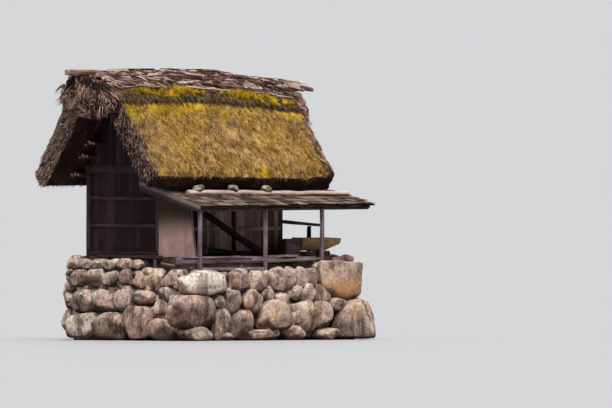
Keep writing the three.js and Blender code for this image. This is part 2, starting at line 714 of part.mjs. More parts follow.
function plinth() {
  const bottom = -FLOOR_HEIGHT;
  const core = fuse([
    box([-60, TROUGH_FROM], [-1190, CORE_Y[1]], [bottom, FLOOR_TOP]),
    box([LENGTH, CORE_X[1]], [TROUGH_Y - 320, CORE_Y[1]], [bottom, FLOOR_TOP]),
    box([LENGTH, CORE_X[1]], [-1190, CORE_Y[1]], [bottom, -230]),
    box([CORE_X[0], CORE_X[1]], [CORE_Y[0], CORE_Y[1]], [bottom, -450]),
    box([CORE_X[0], 0], [250, CORE_Y[1]], [bottom, -103]),
    box([-600, CORE_X[1]], [SILL_LOG_Y - 60, -1180], [bottom, -200]),
  ]);
  const footings = SHED_POSTS.map(([x, foot]) => footingStone(x, foot));
  const posts = SHED_POSTS.map(([x, foot]) => shedPost(x, foot, GAP));
  const beds = [sillLogLeft(GAP), sillLogRight(GAP), lowerBearer(GAP), gableLog(GAP), sidePole(GAP)];
  const limits = [allBelow(bottom), allAbove(FLOOR_TOP)];
  const stones = fuse([core, ...plinthStones(), ...footings]);
  return withoutChips(cut(stones, [...limits, ...posts, ...beds, stubPost(GAP)]));
}

// Everything is named and placed

add('stone_plinth', plinth(), STONE);
add('sill_frame', sillFrame(), DARK_TIMBER);
const frontRailY = [-RAIL_PROUD, BOARD_INSET - GAP];
const rearRailY = [DEPTH - BOARD_INSET + GAP, DEPTH + RAIL_PROUD];
add('front_wall_frame', wallFrame(0, [0, PLATE_WIDTH], frontRailY), DARK_TIMBER);
add('rear_wall_frame', wallFrame(DEPTH - POST, [DEPTH - PLATE_WIDTH, DEPTH], rearRailY), DARK_TIMBER);

const tieY = [PLATE_WIDTH + GAP, DEPTH - PLATE_WIDTH - GAP];
add('tie_beam_left', box([0, 150], tieY, [PLATE_BOTTOM, PLATE_TOP]), DARK_TIMBER);
add('tie_beam_right', box([LENGTH - 150, LENGTH], tieY, [PLATE_BOTTOM, PLATE_TOP]), DARK_TIMBER);
add('door_frame', doorFrame(), DARK_TIMBER);

const frontBoardY = BOARD_INSET;
const rearBoardY = DEPTH - BOARD_INSET - BOARD;
const rightBoardX = LENGTH - BOARD_INSET - BOARD;
const bays = [[POST, MID_POST_X], [MID_POST_X + POST, LENGTH - POST]];
const bayNames = ['a', 'b'];
bays.forEach(([from, to], bay) => {
  add(`front_boards_${bayNames[bay]}`, boardsAlongX(from, to, frontBoardY), DARK_TIMBER);
  add(`rear_boards_${bayNames[bay]}`, boardsAlongX(from, to, rearBoardY), DARK_TIMBER);
});
add('left_boards', boardsAlongY(POST, DEPTH - POST, BOARD_INSET), DARK_TIMBER);
[['left_rail_upper', 1390], ['left_rail_lower', 700]].forEach(([name, z]) => {
  const railY = [POST + GAP, DEPTH - POST - GAP];
  add(name, box([-RAIL_PROUD, BOARD_INSET - GAP], railY, [z, z + 85]), DARK_TIMBER);
});
add('right_boards_front', boardsAlongY(POST, DOOR_FROM_Y - POST, rightBoardX), DARK_TIMBER);
add('right_boards_rear', boardsAlongY(DOOR_TO_Y + POST, DEPTH - POST, rightBoardX), DARK_TIMBER);
const overDoor = boardsAlongY(DOOR_FROM_Y, DOOR_TO_Y, rightBoardX, DOOR_TOP + POST);
add('right_boards_over', overDoor, DARK_TIMBER);
const beamNotch = [ridgeBeam(RIDGE_BEAM + GAP)];
add('left_gable_boards', cut(gableBoards(0), beamNotch), DARK_TIMBER);
add('right_gable_boards', cut(gableBoards(LENGTH - BOARD + GAP), beamNotch), DARK_TIMBER);

add('roof_frame_front', roofFrame(-1), BARK);
add('roof_frame_rear', roofFrame(1), BARK);
const ridgeTrim = [-1, 1].map((side) => roofFrame(side).translate([0, 0, -GAP]));
add('ridge_beam', cut(ridgeBeam(RIDGE_BEAM), ridgeTrim), BARK);
add('thatch_front', thatch(-1), THATCH, 1);
add('thatch_rear', thatch(1), THATCH, 1);
const capSeat = [-1, 1].map((side) => thatch(side).translate([0, 0, GAP]));
add('ridge_cap', cut(ridgeCap(), capSeat), BARK, 1);

const BUNDLES = [
  ['gable_bundle_left', VERGE_LEFT - CAP_OVERHANG - GAP, -1640, 1],
  ['gable_bundle_right', VERGE_RIGHT + CAP_OVERHANG + GAP, 5900, 0.84],
];
BUNDLES.forEach(([name, from, to, share]) => add(name, gableBundle(from, to, share), BARK, 1));

const RIDGE_POLES = [
  ['ridge_pole_top', 0, -2000, 6700, 80],
  ['ridge_pole_front', 280, -1250, 6150, 62],
  ['ridge_pole_low', 540, -900, 5800, 50],
  ['ridge_pole_rear', -300, -1500, 6300, 62],
];
const liftedBundles = BUNDLES.map(([, from, to, share]) => gableBundle(from, to, share, GAP));
const underPoles = [ridgeCap(GAP), ...liftedBundles];
RIDGE_POLES.forEach(([name, offset, from, to, radius]) => {
  add(name, cut(ridgePole(offset, from, to, radius), underPoles), PALE_POLE);
});

add('lean_to_frame', cut(shedFrame(), [shedRoof().translate([0, 0, -GAP])]), DARK_TIMBER);
add('lean_to_roof', shedRoof(), SHINGLE);
add('barge_board', bargeBoard(), BARGE_PAINT);
add('weight_pole', cut(weightPole(), [shedRoof(GAP)]), PALE_POLE);
const ROOF_STONES = [[680, 330, 180], [1900, 300, 175], [3040, 310, 140]];
ROOF_STONES.forEach(([x, width, height], i) => {
  add(`roof_stone_${i + 1}`, roofStone(x, width, height, i + 5), STONE);
});
SHED_POSTS.forEach(([x, foot], i) => {
  add(`lean_to_post_${i + 1}`, cut(shedPost(x, foot), [shedFrame(GAP)]), GREY_TIMBER);
});
const logs = [sillLogLeft(GAP), sillLogRight(GAP)];
add('diagonal_brace', cut(diagonalBrace(), [shedFrame(GAP), ...logs]), DARK_TIMBER);
const panelTrim = [shedFrame(GAP), overPanelRafter(), ...logs];
add('plaster_panel', cut(plasterPanel(), [...panelTrim, panelEdge(GAP)]), PLASTER, 1);
const underFloor = allBelow(FLOOR_TOP + GAP);
add('panel_edge', cut(panelEdge(), [...panelTrim, underFloor]), FRESH_WOOD);
add('sill_log_left', sillLogLeft(), GREY_TIMBER);
add('sill_log_right', sillLogRight(), GREY_TIMBER);
add('lower_bearer', lowerBearer(), GREY_TIMBER);
const postRoom = SHED_POSTS.map(([x, foot]) => shedPost(x, foot, GAP));
add('edge_pole', cut(edgePole(), postRoom), GREY_TIMBER);
add('gable_log', gableLog(), GREY_TIMBER);
add('side_pole', sidePole(), GREY_TIMBER);
add('stub_post', cut(stubPost(), [gableLog(GAP)]), GREY_TIMBER);
add('loose_log', cut(looseLog(), [underFloor]), DARK_TIMBER);

const TROUGH_BEARERS = [4760, 5260];
const troughSeat = allAbove(TROUGH_BOTTOM - GAP);
add('trough', trough(), MOSSY_WOOD);
TROUGH_BEARERS.forEach((x, i) => {
  add(`trough_bearer_${i + 1}`, cut(troughBearer(x), [troughSeat, underFloor]), GREY_TIMBER);
});
add('trough_block', troughBlock(), GREY_TIMBER);
const beforeCorner = box([-FAR, LENGTH + GAP], EVERYWHERE, EVERYWHERE);
add('flume_pole', cut(flumePole(), [beforeCorner]), DARK_TIMBER);
add('flume_post', cut(flumePost(), [flumePole(GAP)]), DARK_TIMBER);

export default mill;
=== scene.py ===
# %% [markdown]
# A small thatched mill on a plinth of dry-laid boulders.
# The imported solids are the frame. They fix every size and place, and this lesson dresses them: stones, straw,
# bark, boards and logs are surfaces worked out with numpy, because a formula gives each piece its own shape.

# %% Load the frame
import functools
import math
import bpy
import numpy as np
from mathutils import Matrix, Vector


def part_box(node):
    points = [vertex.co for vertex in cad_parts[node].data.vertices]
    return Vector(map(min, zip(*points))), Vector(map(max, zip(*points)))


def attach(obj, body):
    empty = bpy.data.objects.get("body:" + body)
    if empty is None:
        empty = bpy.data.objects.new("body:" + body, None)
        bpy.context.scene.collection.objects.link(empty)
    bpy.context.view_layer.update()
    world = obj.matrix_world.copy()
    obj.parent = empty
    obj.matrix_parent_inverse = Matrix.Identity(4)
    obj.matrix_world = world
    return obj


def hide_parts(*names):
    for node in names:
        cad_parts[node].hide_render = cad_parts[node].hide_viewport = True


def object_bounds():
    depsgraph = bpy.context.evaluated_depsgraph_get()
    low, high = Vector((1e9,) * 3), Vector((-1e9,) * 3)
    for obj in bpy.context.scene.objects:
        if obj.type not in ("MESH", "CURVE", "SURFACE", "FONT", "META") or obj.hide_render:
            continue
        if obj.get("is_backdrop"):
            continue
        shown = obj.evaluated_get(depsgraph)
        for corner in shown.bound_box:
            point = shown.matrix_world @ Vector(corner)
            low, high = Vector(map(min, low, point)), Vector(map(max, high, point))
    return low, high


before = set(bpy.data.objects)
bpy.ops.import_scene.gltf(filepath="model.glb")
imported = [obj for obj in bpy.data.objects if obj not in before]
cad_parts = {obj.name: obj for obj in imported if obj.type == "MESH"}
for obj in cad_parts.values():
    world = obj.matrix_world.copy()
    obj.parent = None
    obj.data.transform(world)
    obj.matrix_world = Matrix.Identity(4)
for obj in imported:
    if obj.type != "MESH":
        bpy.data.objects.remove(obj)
CAD_LOW, CAD_HIGH = (np.array(corner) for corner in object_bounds())
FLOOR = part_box("stone_plinth")[1].z + 0.03
print("solids:", len(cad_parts), "from", CAD_LOW.round(3), "to", CAD_HIGH.round(3))

# %% [markdown]
# Heights in this lesson count from the hut's floor, which lies on top of the plinth, because that is how a
# carpenter would measure the hut. The floor's height is added when a mesh is made.

# %% The hut's own measures
def hut_box(node):
    """Lowest and highest corner of a solid, with heights counted from the floor."""
    return tuple(np.array(corner) - (0, 0, FLOOR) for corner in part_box(node))


LENGTH, DEPTH = hut_box("sill_frame")[1][:2]
MIDDLE_Y = DEPTH / 2
VERGE = tuple(corner[0] for corner in hut_box("thatch_front"))
print("hut", round(LENGTH, 2), "x", round(DEPTH, 2), "verges at", VERGE)

# %% [markdown]
# The photograph looks 45 degrees to the left of the front, hardly above the floor, and so flat that near
# and far posts have one scale: 40 of its 612 pixels for a metre. A camera without perspective repeats that.

# %% Camera and light
PICTURE_WIDTH = 612
PIXELS_PER_METRE = 40
LOOK_AT = Vector((3.847, -1.347, 3.395))
CAMERA_TURN, CAMERA_RISE, CAMERA_AWAY = -45, 0.5, 400


def put_in_scene(name, data):
    """A camera, a light or a mesh shows only once an object that holds it is linked to the scene."""
    thing = bpy.data.objects.new(name, data)
    bpy.context.scene.collection.objects.link(thing)
    return thing


camera = put_in_scene("camera", bpy.data.cameras.new("camera"))
camera.data.type = "ORTHO"
camera.data.ortho_scale = PICTURE_WIDTH / PIXELS_PER_METRE
camera.data.clip_end = 10 * CAMERA_AWAY
camera.rotation_euler = (math.radians(90 - CAMERA_RISE), 0, math.radians(CAMERA_TURN))
camera.location = LOOK_AT + camera.rotation_euler.to_matrix() @ Vector((0, 0, CAMERA_AWAY))
bpy.context.scene.camera = camera
bpy.context.scene.view_settings.view_transform = "Standard"


def soft_sun(name, towards, strength, spread, tone=(1, 1, 1)):
    """A sun lights near and far ground alike, and a wide spread gives it a large lamp's soft shadows."""
    light = bpy.data.lights.new(name, "SUN")
    light.energy, light.angle, light.color = strength, math.radians(spread), tone
    put_in_scene(name, light).rotation_euler = Vector(towards).to_track_quat("-Z", "Y").to_euler()


soft_sun("key_light", (0.55, 0.65, -0.95), 2.1, 30, (1.0, 0.97, 0.92))
soft_sun("top_light", (0.1, 0.1, -1.0), 2.1, 60)
soft_sun("rear_light", (-0.6, -0.5, -0.7), 0.5, 60)
world = bpy.data.worlds.new("studio")
world.use_nodes = True
sky = world.node_tree.nodes["Background"].inputs
sky["Color"].default_value, sky["Strength"].default_value = (0.80, 0.82, 0.85, 1), 0.34
bpy.context.scene.world = world

# %% [markdown]
# Nothing that is cut, split or weathered by hand is even. A smooth noise that any shape can ask for its value
# at a point is the lesson's main tool, and sums of it at finer and finer scales give bark, stone and straw.

# %% Noise
def corner_value(cell, seed):
    """A fixed random value from -1 to 1 for each whole-number corner of space, mixed from its numbers."""
    mixed = cell[..., 0] * 73856093 ^ cell[..., 1] * 19349663 ^ cell[..., 2] * 83492791 ^ seed * 2654435
    mixed = (mixed ^ (mixed >> 13)) * 1274126177
    mixed = mixed ^ (mixed >> 16)
    return (mixed & 0xFFFF) / 32767.5 - 1


def smooth_noise(points, seed):
    """Each point blends the values of the eight corners round it, with weights that start and end level."""
    cell = np.floor(points).astype(np.int64)
    share = points - cell
    share = share * share * (3 - 2 * share)
    total = np.zeros(len(points))
    for corner in np.ndindex(2, 2, 2):
        total += np.where(corner, share, 1 - share).prod(axis=1) * corner_value(cell + np.array(corner), seed)
    return total


def rough(points, scale, seed, octaves=3):
    """A sum of noises, each twice as fine and half as strong; scale is the size of the largest swell."""
    points = np.asarray(points, float) / np.asarray(scale, float)
    return sum(smooth_noise(points * 2**k, seed + 17 * k) / 2**k for k in range(octaves))


def shake(points, scale, seed, octaves=2):
    """Three noises, one for each direction."""
    return np.stack([rough(points, scale, seed + k, octaves) for k in range(3)], axis=1)


# %% [markdown]
# A shape here is a few arrays: points, faces, and for each point where it lies in its own timber (grain), how
# light it is (tint), how mossy (moss), and whether it is a fresh cut or worn (cut). On stones the tint also
# carries painted light, on the rubble the moss channel carries painted shade, and on the straw the cut channel
# also carries painted shade. Finishes read these.

# %% Shapes as arrays
NO_CORNER = -1


def xyz(x, y, z):
    """Three coordinates, single values or arrays, side by side."""
    return np.stack(np.broadcast_arrays(x, y, z), axis=-1).astype(float)


def unit(vectors):
    """Each vector divided by its length."""
    return vectors / np.maximum(np.linalg.norm(vectors, axis=-1, keepdims=True), 1e-9)


def shape(points, faces, grain=None, tint=0.5, moss=0.0, cut=0.0):
    """A skin whose signed volume is below nought faces inwards, and all its faces are turned round."""
    last = np.where(faces[:, 3] == NO_CORNER, faces[:, 2], faces[:, 3])
    a, b, c, d = (points[corner] for corner in (*faces[:, :3].T, last))
    volume = (a * np.cross(b, c)).sum() + (a * np.cross(c, d)).sum()
    made = {"points": points, "faces": faces if volume > 0 else faces[:, ::-1]}
    made["grain"] = points if grain is None else grain
    for name, value in (("tint", tint), ("moss", moss), ("cut", cut)):
        made[name] = np.broadcast_to(np.asarray(value, float), len(points))
    return made


def join(shapes):
    """Puts shapes one after the other, so that each one's faces count from its first point."""
    starts = np.cumsum([0] + [len(s["points"]) for s in shapes[:-1]])
    faces = [np.where(s["faces"] == NO_CORNER, NO_CORNER, s["faces"] + at) for s, at in zip(shapes, starts)]
    joined = {name: np.concatenate([s[name] for s in shapes]) for name in shapes[0] if name != "faces"}
    return joined | {"faces": np.concatenate(faces)}


# %% Grids, blocks and skins
def block(*lines):
    """The skin of a box from its grid lines along X, Y and Z, welded at the edges, its faces outwards."""
    sizes = [len(line) for line in lines]
    numbers = np.arange(np.prod(sizes)).reshape(sizes)
    quads = []
    for axis, end in np.ndindex(3, 2):
        grid = np.moveaxis(numbers, axis, 0)[-end]
        grid = grid.T if axis == 1 else grid
        around = [grid[:-1, :-1], grid[1:, :-1], grid[1:, 1:], grid[:-1, 1:]]
        quads.append(np.stack(around if end else around[::-1], axis=-1).reshape(-1, 4))
    used, faces = np.unique(np.concatenate(quads), return_inverse=True)
    at = np.unravel_index(used, sizes)
    return xyz(*(np.asarray(line)[place] for line, place in zip(lines, at))), faces.reshape(-1, 4)


def lattice(*lines):
    """A block from 0 to 1: its three coordinates and its faces. A whole number stands for that many lines."""
    points, faces = block(*(np.linspace(0, 1, line) if isinstance(line, int) else line for line in lines))
    return (*points.T, faces)


def skin(rings):
    """Walls between rings of points, and a middle point at each end that closes it."""
    steps, sides = rings.shape[:2]
    points = np.concatenate([rings.reshape(-1, 3), rings[[0, -1]].mean(axis=1)])
    row = np.arange(steps * sides).reshape(steps, sides)
    turned = np.roll(row, -1, axis=1)
    walls = np.stack([row[:-1], row[1:], turned[1:], turned[:-1]], axis=-1).reshape(-1, 4)
    fan = lambda tip, *edge: np.stack(np.broadcast_arrays(len(points) - tip, *edge, NO_CORNER), axis=-1)
    return points, np.concatenate([walls, fan(2, row[0], turned[0]), fan(1, turned[-1], row[-1])])


# %% A piece from its shapes
SHARP, CHIPPED = math.radians(50), math.radians(20)


def add_piece(name, shapes, finish, slot, nodes=(), sharp=SHARP):
    """Joins shapes into one mesh at the origin, inside the solids' box, and lets it stand for its solids."""
    made = join(shapes)
    points = np.clip(made["points"] + (0, 0, FLOOR), CAD_LOW, CAD_HIGH)
    real = made["faces"] != NO_CORNER
    totals = real.sum(axis=1)
    mesh = bpy.data.meshes.new(name)
    mesh.vertices.add(len(points))
    mesh.vertices.foreach_set("co", points.astype(np.float32).ravel())
    mesh.loops.add(int(totals.sum()))
    mesh.loops.foreach_set("vertex_index", made["faces"][real].astype(np.int32))
    mesh.polygons.add(len(totals))
    mesh.polygons.foreach_set("loop_start", (np.cumsum(totals) - totals).astype(np.int32))
    mesh.update(calc_edges=True)
    for channel in ("grain", "tint", "moss", "cut"):
        kind, field = ("FLOAT_VECTOR", "vector") if channel == "grain" else ("FLOAT", "value")
        attribute = mesh.attributes.new(channel, kind, "POINT")
        attribute.data.foreach_set(field, made[channel].astype(np.float32).ravel())
    mesh.polygons.foreach_set("use_smooth", np.ones(len(totals), bool))
    mesh.set_sharp_from_angle(angle=sharp)
    mesh.materials.append(FINISHES[finish])
    piece = put_in_scene(name, mesh)
    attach(piece, "root")
    if nodes:
        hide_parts(*nodes)
    print(name, "triangles:", int((totals - 2).sum()))


# %% [markdown]
# Timber comes in two forms: squared beams and boards, and round poles. A beam is a box whose edges are
# rounded by hand tools and whose faces waver; a pole is a ring carried along a path, with a cut end face.

# %% Hewn beams
HEWN_STEP = 0.16
ANYWHERE = 40


def hewn(low, high, seed, corner=0.012, waver=0.004, tint=None):
    """A squared timber between two corners. A point in the edge zone is pushed onto a ball of the corner's
    radius round the inner box's nearest point, and slow noise moves the faces. The grain starts anywhere."""
    low, high = np.asarray(low, float), np.asarray(high, float)
    middle, half = (low + high) / 2, (high - low) / 2
    corner = min(corner, 0.45 * half.min())
    long_axis = int(np.argmax(half))
    steps = [max(2, int(2 * h / HEWN_STEP)) + 1 if axis == long_axis else 2 for axis, h in enumerate(half)]
    lines = ([-h, *np.linspace(corner - h, h - corner, count), h] for h, count in zip(half, steps))
    points, faces = block(*lines)
    ends = np.abs(points[:, long_axis]) > half[long_axis] - 1e-6
    inner = np.clip(points, corner - half, half - corner)
    reach = np.linalg.norm(points - inner, axis=1, keepdims=True)
    points = inner + unit(points - inner) * np.minimum(reach, corner)
    rng = np.random.default_rng(seed)
    grain = np.roll(points, -long_axis, axis=1) + rng.uniform(-ANYWHERE, ANYWHERE, 3)
    shift = shake(points + middle, 0.7, seed)
    shift[:, long_axis] = 0
    tint = rng.uniform(0.35, 0.65) if tint is None else tint
    return shape(points + middle + waver * shift, faces, grain, tint, cut=ends)


# %% Boards side by side
BOARD_WIDTH = 0.15
BOARD_LAP = 0.002
BOARD_EDGE = 0.004


def boards(low, high, seed, top=None, run=None):
    """Fills a slab with upright boards of uneven width, each cupped and leaning a little; top(y) trims it."""
    rng = np.random.default_rng(seed)
    run = (0 if high[0] - low[0] > high[1] - low[1] else 1) if run is None else run
    thin = 1 - run
    count = max(1, round((high[run] - low[run]) / BOARD_WIDTH))
    edges = np.linspace(low[run], high[run], count + 1)
    edges[1:-1] += rng.uniform(-0.22, 0.22, count - 1) * BOARD_WIDTH
    thickness = high[thin] - low[thin]
    made = []
    for start, end in zip(edges[:-1], edges[1:]):
        across = start, start + BOARD_EDGE, end + BOARD_LAP - BOARD_EDGE, end + BOARD_LAP
        lines = [across, (0.06 * thickness, thickness)]
        points, faces = block(*(lines if run == 0 else lines[::-1]), np.linspace(0, 1, 11))
        place, deep, upward = points[:, run], points[:, thin], points[:, 2]
        tall = (high[2] if top is None else top(place)) - low[2]
        share = (place - start) / (end - start) - 0.5
        lean = rng.uniform(-0.002, 0.002) * (upward - 0.5)
        height = low[2] + upward * tall - 0.004 * rng.random() * upward
        grain = xyz(height, place, deep) + rng.uniform(-ANYWHERE, ANYWHERE, 3)
        depth = low[thin] + deep + rng.uniform(-0.2, 0.1) * thickness * (deep > 0.01)
        depth = depth + 0.012 * share**2 + 0.0015 * rough(grain, (0.5, 0.06, 1), seed)
        placed = [place + lean, np.clip(depth, low[thin], high[thin])]
        points = xyz(*(placed if run == 0 else placed[::-1]), height)
        made.append(shape(points, faces, grain, rng.uniform(0.2, 0.8)))
    return made


# %% Round poles and logs
def tube(path, radius, seed, sides, bark, tint):
    """A ring carried along a path. Its radius wavers by bark metres of noise stretched along the grain, and
    each end has a small chamfer, a face and a middle point, marked as cut."""
    steps = len(path)
    heading = unit(np.gradient(path, axis=0))
    sideways = unit(np.cross(heading, (0, 0, 1) if abs(heading[0, 2]) < 0.9 else (0, 1, 0)))
    above = np.cross(sideways, heading)
    angle = np.linspace(0, 2 * np.pi, sides, endpoint=False)
    length = np.concatenate([[0], np.cumsum(np.linalg.norm(np.diff(path, axis=0), axis=1))])
    radius = np.broadcast_to(np.asarray(radius, float), steps)[:, None]
    start = np.random.default_rng(seed).uniform(-ANYWHERE, ANYWHERE, 3)
    ring = xyz(length[:, None], radius * np.cos(angle), radius * np.sin(angle))
    swell = bark * rough(ring.reshape(-1, 3) + start, (0.45, 0.07, 0.07), seed).reshape(steps, sides)
    size = 1 + swell / radius
    size[[0, -1]] *= 0.88
    local = ring * np.stack([np.ones_like(size), size, size], axis=-1)
    rings = path[:, None] - local[..., 1:2] * sideways[:, None] + local[..., 2:] * above[:, None]
    points, faces = skin(rings)
    grain = np.concatenate([local.reshape(-1, 3), [(0, 0, 0), (length[-1], 0, 0)]]) + start
    is_cut = np.zeros(len(points))
    is_cut[:sides] = is_cut[-sides - 2:] = 1
    return shape(points, faces, grain, tint, 0, is_cut)


def log(start, end, radius_from, radius_to, seed, sides, bark, wander, tint=0.5):
    """A log that tapers from one radius to the other. Its middle drifts sideways by slow noise that is nought
    at both ends, and a ring close to each end keeps the chamfer short."""
    start, end = np.asarray(start, float), np.asarray(end, float)
    length = float(np.linalg.norm(end - start))
    share = np.linspace(0, 1, max(4, int(length / 0.12)))[:, None]
    path = start * (1 - share) + end * share
    drift = np.stack([rough(path + 7.3 * k, 1.1, seed + k, 2) for k in range(3)], axis=1)
    path = path + wander * drift * np.sin(np.pi * share) ** 0.5
    near, far = (start * (1 - part) + end * part for part in (0.012, 0.988))
    path = np.concatenate([path[:1], [near], path[1:-1], [far], path[-1:]])
    share = np.linalg.norm(path - path[0], axis=1) / length
    return tube(path, radius_from + (radius_to - radius_from) * share, seed, sides, bark, tint)


# %% [markdown]
# Straw, twigs and strands are thousands of small spikes. Each is a three-sided rod bent once in its middle,
# ten triangles in all, and one call makes them all as whole arrays.

# %% Stalks
STALK_FACES = np.array([
    [2, 1, 0, -1], [0, 1, 4, 3], [1, 2, 5, 4], [2, 0, 3, 5], [3, 4, 6, -1], [4, 5, 6, -1], [5, 3, 6, -1],
])


def stalks(root, middle, tip, radius, seed, tint, moss=0.0, cut=0.0):
    """Rods from root over middle to tip; the ring round each is spanned by two directions across the rod."""
    count = len(root)
    rng = np.random.default_rng(seed)
    heading = unit(middle - root)
    side = unit(np.cross(heading, unit(rng.normal(size=(count, 3)))))
    other = np.cross(heading, side)
    angle = np.arange(3)[:, None] * 2 * np.pi / 3
    around = side[:, None] * np.cos(angle) + other[:, None] * np.sin(angle)
    size = np.broadcast_to(np.asarray(radius, float), count)[:, None, None]
    rings = [root[:, None] + size * around, middle[:, None] + 0.8 * size * around, tip[:, None]]
    starts = 7 * np.arange(count)[:, None, None]
    faces = np.where(STALK_FACES == NO_CORNER, NO_CORNER, STALK_FACES + starts).reshape(-1, 4)
    each = lambda value: np.repeat(np.broadcast_to(np.asarray(value, float), count), 7)
    grain = np.repeat(rng.uniform(-ANYWHERE, ANYWHERE, (count, 3)), 7, axis=0)
    grain[:, 0] += 0.2 * np.tile([0, 0, 0, 0.5, 0.5, 0.5, 1], count)
    points = np.concatenate(rings, axis=1).reshape(-1, 3)
    return shape(points, faces, grain, each(tint), each(moss), each(cut))


def rods(root, heading, length, radius, seed, tint, moss=0.0, cut=0.0, bend=0.5, drop=0.0):
    """Nearly straight stalks of a length along a heading; drop lowers their tips."""
    way = length[:, None] * heading
    return stalks(root, root + bend * way, root + way - (0, 0, drop), radius, seed, tint, moss, cut)


# %% [markdown]
# Finishes are node trees. A few words make them short: wires that can be added and multiplied, a noise, a
# ramp of colours, and a mix. Colours are written as they look on a screen, from 0 to 255, and turned into
# linear light once.

# %% Words for node trees
FINISHES = {}


def colour(red, green, blue):
    """Screen values from 0 to 255 as linear light."""
    value = np.array([red, green, blue]) / 255
    linear = np.where(value <= 0.04045, value / 12.92, ((value + 0.055) / 1.055) ** 2.4)
    return (*linear.tolist(), 1.0)


def dimmed(shade, share):
    """A share of a screen colour's linear light."""
    return (*(share * part for part in colour(*shade)[:3]), 1.0)


class Wire:
    """A node's output. Sums and products of wires are Math nodes, so that a finish reads like its formula."""

    def __init__(self, finish, socket):
        self.finish, self.socket = finish, socket

    def math(self, operation, other, clamp=False):
        return self.finish.add("Math", {0: self, 1: other}, operation=operation, use_clamp=clamp)

    def __add__(self, other):
        return self.math("ADD", other)

    def __sub__(self, other):
        return self.math("SUBTRACT", other)

    def __mul__(self, other):
        return self.math("MULTIPLY", other)

    def between(self, low, high):
        """0 below low, 1 above high, and a soft step between them."""
        inputs = {"Value": self, "From Min": low, "From Max": high}
        return self.finish.add("MapRange", inputs, interpolation_type="SMOOTHSTEP")


# %% A finish and its words
class Finish:
    """A material by its name in FINISHES, with the words that its tree is made of."""

    def __init__(self, name, specular=0.2):
        material = FINISHES[name] = bpy.data.materials.new(name)
        material.use_nodes = True
        self.tree = material.node_tree
        self.shader = self.tree.nodes["Principled BSDF"]
        self.shader.inputs["Specular IOR Level"].default_value = specular
        self.at = self.add("TexCoord", {}, "Object")

    def feed(self, socket, value):
        """A wire is linked. Anything else is set, screen colours as linear light."""
        if isinstance(value, Wire):
            self.tree.links.new(value.socket, socket)
        elif socket.type == "RGBA" and len(value) == 3:
            socket.default_value = colour(*value)
        else:
            socket.default_value = value

    def add(self, kind, inputs, output=0, **settings):
        made = self.tree.nodes.new("ShaderNode" + kind)
        for key, value in settings.items():
            setattr(made, key, value)
        for key, value in inputs.items():
            self.feed(made.inputs[key], value)
        return Wire(self, made.outputs[output])

    def read(self, name, output="Fac"):
        """What the shapes say: grain, tint, moss or cut."""
        return self.add("Attribute", {}, output, attribute_name=name)

    def height_of(self, vector):
        return self.add("SeparateXYZ", {0: vector}, "Z")

    def noise(self, scale, detail=5, roughness=0.6, at=None):
        inputs = {"Vector": at or self.at, "Scale": scale, "Detail": detail, "Roughness": roughness}
        return self.add("TexNoise", inputs, "Fac")

    def streaks(self, at, factors, detail, roughness=0.6):
        """A noise that is fine across the direction with the small factor, and long along it."""
        stretched = self.add("VectorMath", {0: at, 1: factors}, operation="MULTIPLY")
        return self.noise(1, detail, roughness, stretched)

    def ramp(self, value, *stops):
        """Each stop is a place from 0 to 1 and a screen colour."""
        wire = self.add("ValToRGB", {"Fac": value}, "Color")
        elements = wire.socket.node.color_ramp.elements
        while len(elements) < len(stops):
            elements.new(0.5)
        for element, (at, *shade) in zip(elements, stops):
            element.position, element.color = at, colour(*shade)
        return wire

    def mix(self, share, first, second, blend="MIX"):
        return self.add("Mix", {0: share, 6: first, 7: second}, 2, data_type="RGBA", blend_type=blend)

    def times(self, first, second, share=1.0):
        """Colours multiply as when light passes two stained panes."""
        return self.mix(share, first, second, "MULTIPLY")

    def dress(self, base, roughness, height, strength, distance):
        """Links colour, roughness and a bump, so many metres high, to the shader."""
        bump = self.add("Bump", {"Height": height, "Strength": strength, "Distance": distance}, "Normal")
        for name, value in (("Base Color", base), ("Roughness", roughness), ("Normal", bump)):
            self.feed(self.shader.inputs[name], value)


# %% [markdown]
# Weathered wood: streaks run along each timber's own grain, so the noise is stretched along it. The tint
# makes one board lighter than the next, cut ends show rings, and moss sits where the shape says.

# %% Wood finishes
MOSS_GREEN, MOSS_YELLOW = (96, 104, 22), (178, 160, 22)


def wood(name, dark, middle, light, end=None, bump=0.5, spread=0.9, fine=70, specular=0.2):
    """Streaks, fibres, patches and the tint add up to a place on the ramp from dark to light."""
    finish = Finish(name, specular)
    grain = finish.read("grain", "Vector")
    streak = finish.streaks(grain, (1.6, 26, 26), 7, 0.65)
    fibre = finish.streaks(grain, (4, 2 * fine, 2 * fine), 3)
    patch = finish.noise(2.4, 4, at=grain)
    value = streak * 0.75 + fibre * 0.35 + patch * 0.35 + finish.read("tint") * spread
    value = value.math("SUBTRACT", 0.225 + 0.5 * spread, clamp=True)
    base = finish.ramp(value, (0.22, *dark), (0.5, *middle), (0.78, *light))
    crack = finish.streaks(grain, (1.1, 34, 34), 2).between(0.40, 0.33)
    base = finish.mix(crack * 0.7, base, dimmed(dark, 0.3))
    if end:
        rings = finish.mix(finish.streaks(grain, (0, 60, 60), 2), dimmed(end, 0.55), end)
        base = finish.mix(finish.read("cut").between(0.3, 0.8), base, rings)
    green = finish.mix(finish.noise(12), MOSS_GREEN, MOSS_YELLOW)
    mossy = finish.read("moss") + (finish.noise(16) - 0.5)
    base = finish.mix(mossy.between(0.35, 0.7) * finish.read("moss").between(0.02, 0.2), base, green)
    roughness = streak.between(-0.6, 1) * 0.25 + 0.62
    finish.dress(base, roughness, streak + fibre * 0.4 - crack * 0.6, bump, 0.012)


